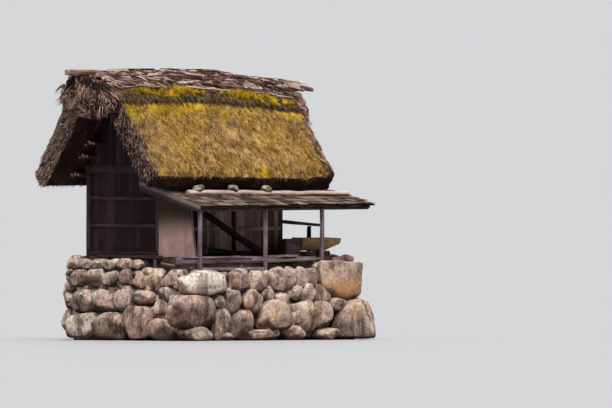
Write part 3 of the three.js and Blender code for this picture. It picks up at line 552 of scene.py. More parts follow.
wood("dark_boards", (20, 11, 14), (37, 23, 27), (66, 47, 52), spread=0.6)
# Lighter brown, partly the wood's own colour and partly painted light for boards and rails in the lean-to's
# shade.
wood("brown_boards", (62, 49, 44), (116, 97, 86), (164, 142, 128))
wood("dark_timber", (22, 16, 16), (48, 36, 37), (88, 72, 70), (60, 46, 40))
wood("grey_timber", (40, 31, 34), (100, 83, 88), (166, 146, 150), (84, 68, 62), 0.9)
wood("pale_pole", (96, 70, 66), (184, 148, 138), (228, 204, 192), (200, 176, 150), 0.9)
wood("ridge_bark", (48, 30, 28), (128, 96, 86), (206, 180, 168), (170, 140, 118), 0.9, fine=50)
wood("cap_bark", (36, 24, 20), (104, 76, 62), (184, 150, 130), bump=0.9, fine=40)
wood("loose_bark", (44, 28, 25), (128, 96, 84), (212, 184, 170), bump=0.9, fine=40)
wood("dark_straw", (26, 19, 11), (68, 52, 32), (128, 102, 70), bump=0.3)
wood("twig_brown", (28, 17, 16), (86, 58, 52), (172, 138, 124), bump=0.3)
wood("roof_poles", (26, 16, 12), (58, 38, 30), (92, 66, 54), (172, 140, 132))
# Near black, partly char and partly painted shade, for the brace and logs that lie in the lean-to's shade.
wood("charred_and_shaded_wood", (3, 2, 2), (8, 6, 6), (22, 17, 17), (60, 48, 44), specular=0.04)
wood("shingle_wood", (32, 23, 21), (82, 64, 57), (150, 124, 112), bump=0.9, spread=0.7)
wood("violet_board", (31, 28, 35), (49, 45, 55), (78, 71, 82), (132, 116, 116), 0.3, 0.4)
wood("fresh_edge", (44, 32, 26), (82, 60, 46), (124, 94, 72), (120, 94, 72))
wood("mossy_log", (60, 44, 28), (154, 122, 84), (214, 184, 138), (98, 82, 62), 0.9)
print("wood finishes:", len(FINISHES))

# %% [markdown]
# The boulders are worn stones of several kinds: cream, warm beige, grey, mauve and purple-brown. The tint
# picks the kind, and painted light raises it towards each stone's top. Drips leave streaks, pale lichen sits
# on top, and the foot is darker and browner.

# %% Stone finish
WHITE = (255, 255, 255)


def stone_finish(name):
    """The kind's colour times clouds and speckles, then drips, rust, painted light on tops and painted shade
    underneath, lichen, a darker foot, and the rubble's near black, partly painted shade.
    """
    finish = Finish(name, 0.3)
    base = finish.ramp(finish.read("tint"), (0, 126, 102, 100), (0.2, 198, 170, 168), (0.4, 216, 202, 198),
                       (0.55, 214, 190, 178), (0.75, 248, 234, 226), (1, 255, 250, 244))
    cloud = finish.noise(2.4, 4)
    speckle = finish.noise(13, 5, 0.7)
    base = finish.times(base, finish.ramp(cloud, (0.34, 192, 177, 170), (0.58, 255, 253, 249)))
    base = finish.times(base, finish.ramp(speckle, (0.36, 126, 110, 104), (0.52, *WHITE)), 0.8)
    wet = finish.streaks(finish.at, (4.5, 4.5, 1.1), 5, 0.65).between(0.49, 0.60)
    base = finish.mix(wet * 0.7, base, finish.times(base, (108, 86, 84)))
    rusty = (finish.read("cut") + cloud * 3).between(1.4, 2.6)
    base = finish.mix(rusty * 0.85, base, finish.mix(speckle, (150, 92, 48), (250, 200, 140)))
    # Painted light and shade: faces that look up are painted lighter and faces that look down darker, as light
    # from above makes them; white stones are lifted further on the same ramp.
    facing_up = finish.height_of(finish.add("NewGeometry", {}, "Normal"))
    upper = (cloud * 0.6 + (facing_up + finish.read("tint").between(0.88, 1) * 0.35)).between(-0.5, 0.9)
    painted_top_light_and_underside_shade = finish.ramp(upper, (0, 92, 78, 74), (0.45, 206, 196, 190), (0.9, 255, 253, 250))
    base = finish.times(base, painted_top_light_and_underside_shade)
    lichen = finish.noise(8, 5, 0.7).between(0.55, 0.62) * finish.noise(0.9, 2).between(0.50, 0.58)
    base = finish.mix(lichen * facing_up.between(-0.4, 0.4) * 0.85, base, (232, 224, 192))
    # Darker and browner towards the foot of the plinth.
    darker_foot = (finish.height_of(finish.at) + cloud * 0.3).between(0.36, 0.14)
    base = finish.mix(darker_foot * 0.55, base, (96, 68, 56))
    # On the rubble the moss channel carries no moss: it paints the rubble near black, partly the dark earth of
    # the joints and partly painted shade under the lean-to and in the gaps.
    base = finish.mix(finish.read("moss"), base, (44, 35, 30))
    finish.dress(base, 0.88, speckle + cloud * 0.8, 0.8, 0.045)


stone_finish("field_stone")

# %% [markdown]
# A split or worn stone is a ball with flats. Its radius in a direction u comes from a set of facets
# with normals n at distances d: r = (1 + sum of (max(n.u, 0) / d)^p)^(-1/p). Six facets look roughly along
# the axes, so that a stone fills its place in the wall, and others cut its corners. Noise roughens it before
# it is stretched.

# %% One stone
CORNER_FACETS = 13


@functools.cache
def ball(cells):
    """Directions of a cube-shaped grid blown up to a ball, kept for each fineness."""
    line = np.tan(np.linspace(-np.pi / 4, np.pi / 4, cells + 1))
    points, faces = block(line, line, line)
    return unit(points), faces


def worn_stone(centre, size, seed, cells, edge=26, tint=0.5, rugged=0.04, cuts=()):
    """The radius above, stretched to the size and tilted a little. cuts are facets whose place is known: an
    angle in the photograph's plane (0 right, 90 up), and a distance."""
    direction, faces = ball(cells)
    rng = np.random.default_rng(seed)
    axes = unit(np.concatenate([np.eye(3), -np.eye(3)]) + rng.normal(0, 0.20, (6, 3)))
    normals = np.concatenate([axes, unit(rng.normal(size=(CORNER_FACETS, 3)))])
    distance = np.concatenate([rng.uniform(0.68, 0.86, 6), rng.uniform(0.76, 0.92, CORNER_FACETS)])
    for angle, away in cuts:
        level, up = math.cos(math.radians(angle)) / math.sqrt(2), math.sin(math.radians(angle))
        normals, distance = np.vstack([normals, (level, -level, up)]), np.append(distance, away)
    facing = np.maximum(direction @ normals.T, 0) / distance
    radius = (1 + (facing**edge).sum(axis=1)) ** (-1 / edge)
    radius = radius + rugged * rough(direction + seed, 0.6, seed, 4)
    points = direction * radius[:, None]
    low, high = points.min(axis=0), points.max(axis=0)
    points = (points - (low + high) / 2) / (high - low) * size
    up = points[:, 2] / size[2]
    tilt = rng.normal(0, 0.10) * min(1, 0.5 / max(size))
    points[:, 2] += tilt * (points[:, 0] + points[:, 1])
    points = points + centre
    points[:, 2] = np.maximum(points[:, 2], -FLOOR)
    # Painted light: the tint rises towards the stone's top, so its top is painted lighter than its foot.
    return shape(points, faces, None, tint + 0.16 * up)


# %% [markdown]
# The front is built as the photograph shows it: each boulder stands at its own distance along the wall
# and its own height, with its own width. What shows between them is filled with smaller stones.

# %% Boulders of the front
# Distance along the wall, height of the middle, width as the photograph shows it, height, kind of stone. A
# stone of length a and depth b seen at 45 degrees looks sqrt((a^2 + b^2) / 2) wide, which gives its length.
FRONT_STONES = [
    (-0.06, -0.675, 1.28, 0.62, 1.0), (-0.48, -1.39, 1.3, 0.8, 0.24), (4.83, -0.665, 1.23, 0.98, 0.45),
    (5.22, -1.6, 1.08, 0.94, 0.46), (2.33, -1.525, 0.9, 0.83, 0.5), (3.37, -1.56, 0.8, 0.85, 0.58),
    (4.01, -1.5, 0.62, 0.72, 0.55), (1.2, -1.73, 0.6, 0.72, 0.45), (0.5, -1.69, 0.47, 0.76, 0.4),
    (0.92, -1.125, 0.47, 0.64, 0.32), (0.43, -1.16, 0.4, 0.38, 0.42), (1.58, -1.15, 0.6, 0.6, 0.52),
    (2.15, -0.985, 0.44, 0.44, 0.36), (2.66, -1.07, 0.4, 0.34, 0.72), (3.16, -0.94, 0.36, 0.4, 0.64),
    (3.59, -1.0, 0.48, 0.56, 0.66), (4.11, -1.01, 0.42, 0.54, 0.5), (4.62, -1.24, 0.56, 0.42, 0.44),
    (1.21, -0.64, 0.54, 0.62, 0.34), (1.89, -0.65, 0.54, 0.54, 0.66), (2.54, -0.64, 0.52, 0.62, 0.7),
    (3.03, -0.57, 0.34, 0.54, 0.3), (3.4, -0.56, 0.36, 0.54, 0.58), (3.79, -0.56, 0.38, 0.46, 0.36),
    (-0.4, -1.95, 0.8, 0.36, 0.44), (0.6, -2.02, 0.42, 0.22, 0.6), (1.7, -1.99, 0.78, 0.27, 0.62),
    (2.2, -1.95, 0.42, 0.3, 0.48), (2.96, -1.93, 0.64, 0.38, 0.6), (4.15, -1.96, 0.7, 0.33, 0.46),
]
FRONT_Y = -1.53
BATTER = 0.09
STAINED_STONE, DIMPLED_STONE = 2, 0
BIG_STONE_CUTS = {
    0: [(182, 0.84), (142, 0.7), (100, 0.76), (66, 0.76), (-4, 0.86), (-90, 0.7), (-55, 0.84), (232, 0.8)],
    1: [(0, 0.74), (180, 0.7), (90, 0.66), (-90, 0.7), (-140, 0.84), (35, 0.84)],
    2: [(0, 0.7), (180, 0.72), (90, 0.66), (-125, 0.82), (-60, 0.84)],
    3: [(22, 0.62), (152, 0.64), (90, 0.74), (-90, 0.6)],
}


# %% One boulder of the front
def front_stone(number):
    """Its stain rises from below by height and noise; the dimple is a bell-shaped dent of 0.15 m."""
    x, z, width, height, kind = FRONT_STONES[number]
    depth = 0.90 * min(width, 0.76)
    size = (1.04 * math.sqrt(2 * width**2 - depth**2), depth, 1.06 * height)
    made = worn_stone((x, FRONT_Y + BATTER * z, z), size, number + 3, 20 if width > 0.7 else 13, tint=kind,
                      cuts=BIG_STONE_CUTS.get(number, ()))
    points = made["points"]
    if number == STAINED_STONE:
        patches = rough(points, (0.35, 0.35, 0.25), 41)
        made["cut"] = np.clip(0.4 + (z + 0.12 - points[:, 2]) / 0.30 + 0.5 * patches, 0, 1)
    if number == DIMPLED_STONE:
        away = np.linalg.norm(points - (x - 0.02, FRONT_Y - 0.3, z - 0.08), axis=1)
        made["cut"] = np.clip(0.7 - away / 0.30 + 0.3 * rough(points, 0.15, 42, 2), 0, 0.4)
        points[:, 1] += 0.05 * np.exp(-((away / 0.15) ** 2))
    return made


front_stones = [front_stone(number) for number in range(len(FRONT_STONES))]
add_piece("pond_boulders", front_stones, "field_stone", "boulders", ["stone_plinth"], CHIPPED)

# %% Boulders of the ends and the rear
# The left end: distance behind the front wall, height of the middle, width, height
LEFT_END = [
    (-1.08, -0.6, 0.54, 0.52), (-0.88, -0.93, 0.5, 0.44), (-0.48, -0.62, 0.46, 0.42),
    (0.0, -0.62, 0.46, 0.42), (-0.12, -1.04, 0.8, 0.36), (-0.7, -1.3, 0.42, 0.44),
    (0.56, -0.56, 0.48, 0.44), (1.04, -0.6, 0.54, 0.46), (1.6, -0.56, 0.56, 0.48), (2.2, -0.58, 0.64, 0.46),
    (0.56, -1.12, 0.62, 0.56), (1.24, -1.15, 0.76, 0.62), (2.02, -1.18, 0.82, 0.64),
    (-0.85, -1.85, 0.9, 0.56), (0.06, -1.65, 0.9, 0.82), (1.0, -1.76, 1.0, 0.7), (1.95, -1.78, 0.98, 0.66),
    (0.3, -0.25, 0.38, 0.3), (0.68, -0.23, 0.42, 0.29), (1.12, -0.24, 0.5, 0.31), (1.6, -0.23, 0.48, 0.28),
    (2.06, -0.24, 0.48, 0.31), (2.46, -0.23, 0.42, 0.29),
]
# Rough courses of the unseen sides: height of the middle, height of the stones
COURSES = [(-0.15, 0.29), (-0.5, 0.5), (-1.06, 0.66), (-1.7, 0.78)]


def course_stones(start, end):
    """Stones of one course differ in length and height by sines of their number, and leave no gaps."""
    for row, (height, tall) in enumerate(COURSES):
        count = round((end - start) / (1.3 * tall))
        lengths = 1 + 0.35 * np.sin(2.4 * np.arange(count) + 1.7 * row)
        edges = start + (end - start) * np.concatenate([[0], np.cumsum(lengths)]) / lengths.sum()
        for i in range(count):
            high = tall * (1 + 0.12 * math.sin(5 * i + 2 * row))
            yield (edges[i] + edges[i + 1]) / 2, height, 1.14 * (edges[i + 1] - edges[i]), high


RIGHT_END, REAR = list(course_stones(-1.25, 2.75)), list(course_stones(-0.45, 5.60))
stone_kinds = np.random.default_rng(7)


# %% The stones of one side
def face_stones(stones, axis, face_at, lean, deep, deepest, seed, cells=9, long=1.02, tall=1.04):
    """Stones of one side. The side leans in by the batter, and a stone's depth follows its width."""
    made = []
    for number, (place, z, width, height) in enumerate(stones):
        centre = np.insert((place, z), axis, face_at + lean * z)
        size = np.insert((long * width, tall * height), axis, deep * min(width, deepest))
        made.append(worn_stone(centre, size, seed + number, cells, tint=stone_kinds.uniform(0.15, 0.85)))
    return made


end_stones = face_stones(LEFT_END, 0, -0.48, BATTER, 0.86, 0.70, 60, 11, 1.14, 1.06)
end_stones += face_stones(RIGHT_END, 0, 5.50, -BATTER, 0.76, 0.76, 90)
end_stones += face_stones(REAR, 1, 2.64, -BATTER, 0.66, 0.80, 120)
add_piece("end_boulders", end_stones, "field_stone", "boulders", (), CHIPPED)

# %% [markdown]
# Small stones wedge the joints. Many random places on the four sides are tried, and a small stone goes in
# where no large one covers the place, which is what a mason does with the chips.

# %% Wedged stones
WEDGE_TRIES = 520
WEDGE_APART = 0.19
LOWEST_WEDGE = -2.02


def wedges(axis, face_at, start, end, top, stones, seed):
    """A place is open where it lies outside every large stone's face ellipse, shrunk a little."""
    rng = np.random.default_rng(seed)
    at = np.stack([rng.uniform(start, end, WEDGE_TRIES), rng.uniform(LOWEST_WEDGE, top, WEDGE_TRIES)], axis=1)
    centres, sizes = np.array([stone[:4] for stone in stones]).reshape(-1, 2, 2).transpose(1, 0, 2)
    is_open = ((((at[:, None] - centres) / (0.43 * sizes)) ** 2).sum(axis=2) > 1).all(axis=1)
    made, placed = [], np.empty((0, 2))
    for place in at[is_open]:
        if len(placed) and np.linalg.norm(placed - place, axis=1).min() < WEDGE_APART:
            continue
        placed = np.vstack([placed, place])
        wide = rng.uniform(0.22, 0.38)
        centre = np.insert(place, axis, face_at + rng.uniform(-0.04, 0.06))
        size = np.insert((wide, wide * rng.uniform(0.7, 1.0)), axis, 0.34)
        made.append(worn_stone(centre, size, seed + len(made), 5, tint=rng.uniform(0.1, 0.9), rugged=0.05))
    return made


small_stones = wedges(1, FRONT_Y + 0.14, -0.75, 5.55, -0.50, FRONT_STONES, 200)
small_stones += wedges(0, -0.50, -1.30, 2.60, -0.42, LEFT_END, 300)
small_stones += wedges(0, 5.56, -1.30, 2.70, -0.30, RIGHT_END, 400)
small_stones += wedges(1, 2.70, -0.35, 5.50, -0.30, REAR, 500)
add_piece("wedged_stones", small_stones, "field_stone", "boulders", (), CHIPPED)

# %% The rubble behind the stones, and the posts' footings
RUBBLE = [
    ((-0.06, -1.16, -FLOOR), (4.44, 2.64, -0.03)),
    ((4.3, -0.76, -FLOOR), (5.5, 2.64, -0.03)),
    ((4.3, -1.16, -FLOOR), (5.5, -0.7, -0.25)),
    ((-0.38, -1.42, -FLOOR), (5.5, 2.64, -0.47)),
    ((-0.38, 0.28, -FLOOR), (0.02, 2.64, -0.12)),
    ((-0.55, -1.34, -FLOOR), (5.5, -1.1, -0.22)),
]
RUBBLE_CELL = 0.20
POSTS = ["lean_to_post_1", "lean_to_post_2", "lean_to_post_3"]


def rubble(low, high, seed):
    """A block with a close grid, pushed in and out by noise, except on its flat top and its foot."""
    points, faces = block(*(np.linspace(a, b, max(3, int((b - a) / RUBBLE_CELL))) for a, b in zip(low, high)))
    inside = (points[:, 2] < high[2] - 0.01) & (points[:, 2] > low[2] + 0.01)
    # Tint 0.12 and a moss channel of 0.75 paint the rubble near black: dark earth, and painted shade under the
    # lean-to.
    return shape(points + 0.05 * shake(points, 0.28, seed) * inside[:, None], faces, None, 0.12, 0.75)


core = [rubble(*corners, 600 + number) for number, corners in enumerate(RUBBLE)]
add_piece("rubble_core", core, "field_stone", "boulders")
footings = []
for number, name in enumerate(POSTS):
    low, high = hut_box(name)
    x, y = (low + high)[:2] / 2
    foot = worn_stone((x, y + 0.03, low[2] - 0.17), (0.56, 0.44, 0.40), 700 + number, 11)
    foot["points"][:, 2] = np.minimum(foot["points"][:, 2], low[2] + 0.004)
    footings.append(foot)
add_piece("footing_stones", footings, "field_stone", "boulders")

# %% [markdown]
# The walls are a frame of squared posts, plates and rails, with upright boards let in between. The frame's
# timbers are hewn boxes in the solids' own places, and every slab of boards is split into single boards.

# %% The timber frame
POST = 0.12
MID_POST_X = 1.42
PLATE_BOTTOM = hut_box("tie_beam_left")[0][2]
SILL_LOW, SILL_HIGH = hut_box("sill_frame")
RAIL_LOW, RAIL_HIGH = 0.61, 0.70
RAIL_PROUD = 0.006
STUD_X = 2.60, 2.71
DOOR_FRONT, DOOR_REAR, DOOR_TOP = 0.84, 1.74, 1.76


def frame_piece(name, boxes, seed, finish="dark_timber", slot="dark_timber"):
    """Hewn timbers in the place of one solid."""
    timbers = [hewn(*corners, seed + n) for n, corners in enumerate(boxes)]
    add_piece(name + "_hewn", timbers, finish, slot, [name])


def wall_frame(name, post_y, plate_y, rail_y, seed):
    """Three posts under a plate, and a rail across the boards."""
    low, high = hut_box(name)
    posts = [((x, post_y, low[2]), (x + POST, post_y + POST, PLATE_BOTTOM))
             for x in (0, MID_POST_X, LENGTH - POST)]
    frame_piece(name, [*posts, ((low[0], plate_y[0], PLATE_BOTTOM), (high[0], plate_y[1], high[2]))], seed)
    rail = (POST - 0.03, rail_y[0], RAIL_LOW), (LENGTH - POST + 0.03, rail_y[1], RAIL_HIGH)
    # The rail takes the lighter brown finish: partly its own colour, partly a painted highlight on a timber in
    # the lean-to's shade.
    add_piece(name + "_rail", [hewn(*rail, seed + 5, tint=0.55)], "brown_boards", "dark_timber")


cross_y, cross_top = (POST - 0.02, DEPTH - POST + 0.02), SILL_HIGH[2] - 0.002
frame_piece("sill_frame", [
    ((0, 0, SILL_LOW[2]), (LENGTH, POST, SILL_HIGH[2])),
    ((0, DEPTH - POST, SILL_LOW[2]), (LENGTH, DEPTH, SILL_HIGH[2])),
    ((0, cross_y[0], SILL_LOW[2]), (POST, cross_y[1], cross_top)),
    ((LENGTH - POST, cross_y[0], SILL_LOW[2]), (LENGTH, cross_y[1], cross_top)),
], 1000)
wall_frame("front_wall_frame", 0, (0, 0.16), (-RAIL_PROUD, 0.030), 1010)
wall_frame("rear_wall_frame", DEPTH - POST, (DEPTH - 0.16, DEPTH), (DEPTH - 0.030, DEPTH + RAIL_PROUD), 1020)
stud = hewn((STUD_X[0], -0.010, SILL_HIGH[2] - 0.01), (STUD_X[1], 0.030, PLATE_BOTTOM + 0.01), 1028, tint=0.3)
add_piece("front_wall_stud", [stud], "dark_timber", "dark_timber")
for number, name in enumerate(["tie_beam_left", "tie_beam_right", "left_rail_upper", "left_rail_lower"]):
    frame_piece(name, [hut_box(name)], 1030 + number)
low, high = hut_box("door_frame")
frame_piece("door_frame", [
    (low, (high[0], DOOR_FRONT, high[2])),
    ((low[0], DOOR_REAR, low[2]), high),
    ((low[0], DOOR_FRONT - 0.03, DOOR_TOP), (high[0], DOOR_REAR + 0.03, DOOR_TOP + POST)),
], 1040)

# %% Wall boards
WALL_BOARDS = ["front_boards_a", "front_boards_b", "rear_boards_a", "rear_boards_b"]
GABLE_END_BOARDS = ["left_boards", "right_boards_front", "right_boards_rear", "right_boards_over"]
BOARDS_PEAK, BOARDS_TOP = 4.052, 3.86
ROOF_SLOPE = 1.43


def gable_top(y):
    """The gable's boards end under the slanting roof poles, and under the ridge beam in the middle."""
    return np.minimum(BOARDS_PEAK - ROOF_SLOPE * np.abs(y - MIDDLE_Y), BOARDS_TOP)


for number, name in enumerate(WALL_BOARDS + GABLE_END_BOARDS):
    slot = "wall_boards" if name in WALL_BOARDS else "gable_boards"
    # The right-hand slabs take the lighter brown finish: partly their own lighter wood, partly painted light
    # against the lean-to's shade.
    finish = "brown_boards" if name in ("front_boards_b", "rear_boards_b") else "dark_boards"
    add_piece(name + "_planks", boards(*hut_box(name), 1100 + number), finish, slot, [name])
for number, name in enumerate(["left_gable_boards", "right_gable_boards"]):
    planks = boards(*hut_box(name), 1120 + number, gable_top, run=1)
    add_piece(name + "_planks", planks, "dark_boards", "gable_boards", [name])

# %% [markdown]
# The roof is a lattice of poles tied together: rafters inside, bundles of three poles across them, and thin
# battens that run up the slope and carry the thatch. Seen from the gable, the bundles' pale cut ends show.

# %% Roof poles
INNER_APEX = 4.22
SLOPE_ANGLE = math.atan(ROOF_SLOPE)
RAFTER_X = np.linspace(0.075, LENGTH - 0.075, 5)
BATTEN_X = np.linspace(-0.20, LENGTH + 0.20, 7)
BUNDLE_OFFSETS = 0.38, 0.92, 1.15, 1.47
BUNDLE_REACH = 0.30


def under_thatch(side, x, offset, depth):
    """A point at a level distance from the ridge and a depth under the thatch, square to the slope."""
    height = INNER_APEX - ROOF_SLOPE * offset - depth / math.cos(SLOPE_ANGLE)
    return np.array([x, MIDDLE_Y + side * offset, height])


# %% The lattice of poles
def roof_lattice(side, seed):
    """Rafters, bundles, two short ends under each bundle at the gables, and battens."""
    up_slope = lambda x, top, foot, depth: [under_thatch(side, x, offset, depth) for offset in (top, foot)]
    made = [log(*up_slope(x, 0, 1.235, 0.125), 0.045, 0.045, seed + n, 10, 0.004, 0.008, 0.4)
            for n, x in enumerate(RAFTER_X)]
    for n, offset in enumerate(BUNDLE_OFFSETS):
        for strand in (-1, 0, 1):
            centre = under_thatch(side, 0, offset, 0.058) + strand * np.array([0, side * 0.054, -0.036])
            reach = BUNDLE_REACH + 0.05 * math.sin(5 * n + 3 * strand)
            made.append(log(centre + (-reach, 0, 0), centre + (LENGTH + reach, 0, 0), 0.036, 0.032,
                            seed + 20 + 3 * n + strand, 8, 0.004, 0.006, 0.5))
    for n, offset in enumerate(BUNDLE_OFFSETS[1:]):
        for strand in (1, 2):
            centre = under_thatch(side, 0, offset, 0.05) + strand * np.array([0, -side * 0.10, -0.01])
            for start, end in ((-0.31, 0.22), (LENGTH - 0.22, LENGTH + 0.31)):
                made.append(log(centre + (start, 0, 0), centre + (end, 0, 0), 0.042, 0.042,
                                seed + 40 + 3 * n + strand, 8, 0.004, 0, 0.5))
    return made + [log(*up_slope(x, 0.215, 1.72, 0.016), 0.02, 0.018, seed + 50 + n, 6, 0.003, 0.006, 0.3)
                   for n, x in enumerate(BATTEN_X)]


add_piece("roof_frame_front_poles", roof_lattice(-1, 1200), "roof_poles", "roof_poles", ["roof_frame_front"])
add_piece("roof_frame_rear_poles", roof_lattice(1, 1300), "roof_poles", "roof_poles", ["roof_frame_rear"])
low, high = hut_box("ridge_beam")
middle = (low + high)[1:] / 2
beam = log((low[0], *middle), (high[0], *middle), 0.058, 0.055, 1290, 12, 0.005, 0.004)
add_piece("ridge_beam_log", [beam], "roof_poles", "roof_poles", ["ridge_beam"])

# %% [markdown]
# The thatch is a coat of reed half a metre thick. Its body is one block whose grid lines run along the ridge,
# down the slope and through the coat, so that the slope, the cut verges and the eave's lip are one skin.

# %% The thatch's body
OUTSIDE = np.array([(0, 4.38), (0.45, 4.22), (0.85, 3.95), (1.08, 3.68), (1.62, 2.81), (2.12, 1.98)])
UNDERSIDE = [(0, 3.95), (0.189, 3.95), (1.29, 2.375), (1.74, 1.732)]
INSIDE = {-1: np.array([*UNDERSIDE, (1.88, 1.70)]), 1: np.array([*UNDERSIDE, (1.97, 1.77)])}
OUTWARD = np.array([0, math.sin(SLOPE_ANGLE), math.cos(SLOPE_ANGLE)])
DOWNWARD = np.array([0, math.cos(SLOPE_ANGLE), -math.sin(SLOPE_ANGLE)])


def slope_axes(side):
    """Down the slope and out of it, at the front (-1) or the rear (1)."""
    return DOWNWARD * xyz(1, side, 1), OUTWARD * xyz(1, side, 1)


def sag(x):
    """The ridge sinks towards the right end, slowly at first and then faster."""
    return 0.30 * np.maximum((x - 1.2) / 4.2, 0) ** 1.6


def ease(value, start, length):
    """0 before the start, 1 after the length, and a straight rise between."""
    return np.clip((value - start) / length, 0, 1)


def along(profile, share):
    """The point at a share of a bent line's length."""
    length = np.concatenate([[0], np.cumsum(np.linalg.norm(np.diff(profile, axis=0), axis=1))])
    return tuple(np.interp(share * length[-1], length, profile[:, k]) for k in (0, 1))


def tuft(side, x, offset):
    """The coat bulges in tufts: a wave along the ridge times one down the slope, each bent by the other."""
    down = side * 1.9 * offset
    wave = np.sin(x / 0.092 + 1.2 * np.sin(down / 0.26)) * np.sin(down / 0.165 + 1.2 * np.sin(x / 0.34))
    return 0.017 * ease(offset, 0.95, 0.2) * wave


# %% A place in the coat
def thatch_place(side, x, down, deep):
    """x along the ridge, down from ridge (0) to eave (1), deep from weathered top (0) to underside (1)."""
    out_offset, out_height = along(OUTSIDE, down)
    in_offset, in_height = along(INSIDE[side], down)
    out_height = out_height - sag(x) * ease(2.12 - out_offset, 0, 1.17)
    if side < 0:
        dip = 0.09 * ease(x, -0.2, 4.6) * ease(5.4 - x, 0, 0.9)
        out_height = out_height - dip * ease(out_offset, 1.1, 1.0)
        lower_lip = 0.09 * ease(-0.3 - x, 0, 0.7) - 0.080 * ease(x, 2.2, 0.9)
        in_height = in_height + lower_lip * ease(in_offset, 1.74, 0.14)
    swell = tuft(side, x, out_offset)
    out_offset, out_height = out_offset + swell * OUTWARD[1], out_height + swell * OUTWARD[2]
    offset = out_offset + (in_offset - out_offset) * deep
    return xyz(x, MIDDLE_Y + side * offset, out_height + (in_height - out_height) * deep)


# %% Where moss grows and where the straw is worn
def mossy_at(points):
    """Moss grows below the cap, mostly over the left half, and in one streak low down at the front."""
    x, y, height = points.T
    near_cap = ease(height + sag(x), 3.30, 0.60)
    patch = rough(points, (0.35, 0.25, 0.25), 31, 4)
    streak = np.exp(-(((x - 3.04) / 0.15) ** 2) - ((height - 2.15) / 0.16) ** 2) * (y < 0)
    to_left = 0.40 + 0.75 * ease(2.8 - x, 0, 2.0)
    return np.clip(near_cap * to_left + 0.45 * patch - 0.22 + 1.6 * streak, 0, 1)


def worn_at(points):
    """Towards the verges the straw on top is weathered brown, in patches."""
    from_verge = np.minimum(points[:, 0] - VERGE[0], 1.3 * (VERGE[1] - points[:, 0]))
    return np.clip(0.40 - from_verge + 0.35 * rough(points, 0.12, 33), 0, 0.45)


# %% The coat as one skin
def thatch_body(side, seed):
    """The places of a grid on the coat, pushed out by noise on top, and in at underside, verges and lip."""
    ridge, down, deep, faces = lattice(140, 60, 8)
    downward, outward = slope_axes(side)
    top, under, lip, left, right = deep == 0, deep == 1, down == 1, ridge == 0, ridge == 1
    x = VERGE[0] + (VERGE[1] - VERGE[0]) * ridge
    points = thatch_place(side, x, down, deep)
    swell = 0.020 * rough(points, (0.07, 0.14, 0.14), seed + 5)
    points = points + ((swell - 0.012) * top)[:, None] * outward
    ragged = 0.020 * rough(points, (0.10, 0.05, 0.05), seed + 9)
    points = points - (np.abs(ragged) * under)[:, None] * outward
    points[:, 0] += (0.02 + 1.4 * ragged) * (1.0 * left - right)
    points = points - ((0.02 + 0.9 * ragged) * lip)[:, None] * downward
    verges = (left | right) * (0.45 + 0.25 * deep)
    # The cut channel holds real weathering on the verges and in patches, and painted shade on the underside and
    # on the lip's face, which looks down.
    wear_and_shade = np.maximum.reduce([under, verges, lip * np.clip(0.5 + 2.5 * deep, 0, 1), worn_at(points)])
    tint = 0.45 + 0.25 * rough(points, 0.25, seed + 3)
    return shape(points, faces, xyz(3 * down, x, 0.5 * deep), tint, mossy_at(points) * top, wear_and_shade)


# %% [markdown]
# Over the body lie the stalks that give a thatch its look: tufts that point down the slope and lift a little,
# longer ends that hang over the eave, and short cut ends that stick out of the verges.

# %% Straw over the thatch
STALKS_IN_TUFT = 6


def on_slope(side, count, seed):
    """Tufts that start on the weathered top and lie down the slope. Stalks of one share its turn and lift."""
    rng = np.random.default_rng(seed)
    total = count * STALKS_IN_TUFT
    shared = lambda draws, own: np.repeat(draws, STALKS_IN_TUFT) + rng.normal(0, own, total)
    each = lambda spread, own: shared(rng.normal(0, spread, count), own)
    x = shared(rng.uniform(VERGE[0] + 0.03, VERGE[1] - 0.03, count), 0.035)
    down = shared(rng.uniform(0.30, 0.975, count), 0.008)
    x, down = np.clip(x, VERGE[0] + 0.01, VERGE[1] - 0.01), np.clip(down, 0.28, 0.985)
    root = thatch_place(side, x, down, 0.02)
    downward, outward = slope_axes(side)
    length = np.clip(0.115 + each(0.03, 0.025), 0.04, 0.22)[:, None]
    turn = (each(0.14, 0.15) - 0.30 * ease(2.5 - x, 0, 3.0))[:, None]
    lift = np.clip(0.24 + each(0.12, 0.08), 0.03, 0.6)[:, None]
    heading = unit(downward + turn * (1, 0, 0) + lift * outward)
    droop = unit(downward + turn * (1.3, 0, 0) - 0.2 * outward)
    middle = root + 0.55 * length * heading
    tint = np.clip(0.55 + each(0.17, 0.17) - 0.30 * ease(down, 0.83, 0.15), 0, 1)
    moss = np.clip(mossy_at(root) * rng.uniform(0.6, 1.2, total), 0, 1)
    radius = rng.uniform(0.004, 0.009, total)
    return stalks(root, middle, middle + 0.45 * length * droop, radius, seed, tint, moss, worn_at(root))


# %% Straw at the eave and the verges
def under_lip(count, seed):
    """At the front old straw hangs from the eave's underside, most of it towards the right end. It takes the
    underside's painted shade.
    """
    rng = np.random.default_rng(seed)
    x = VERGE[1] - (VERGE[1] - VERGE[0]) * rng.random(count) ** 1.6
    root = thatch_place(-1, x, 0.975, rng.uniform(0.75, 1.0, count))
    heading = unit(rng.normal(0, 0.16, (count, 3)) + (0, 0, -1))
    length = rng.uniform(0.03, 0.06, count) + 0.05 * ease(x, 1.5, 1.5)
    return rods(root, heading, length, 0.010, seed, rng.uniform(0.0, 0.4, count), 0, 1)


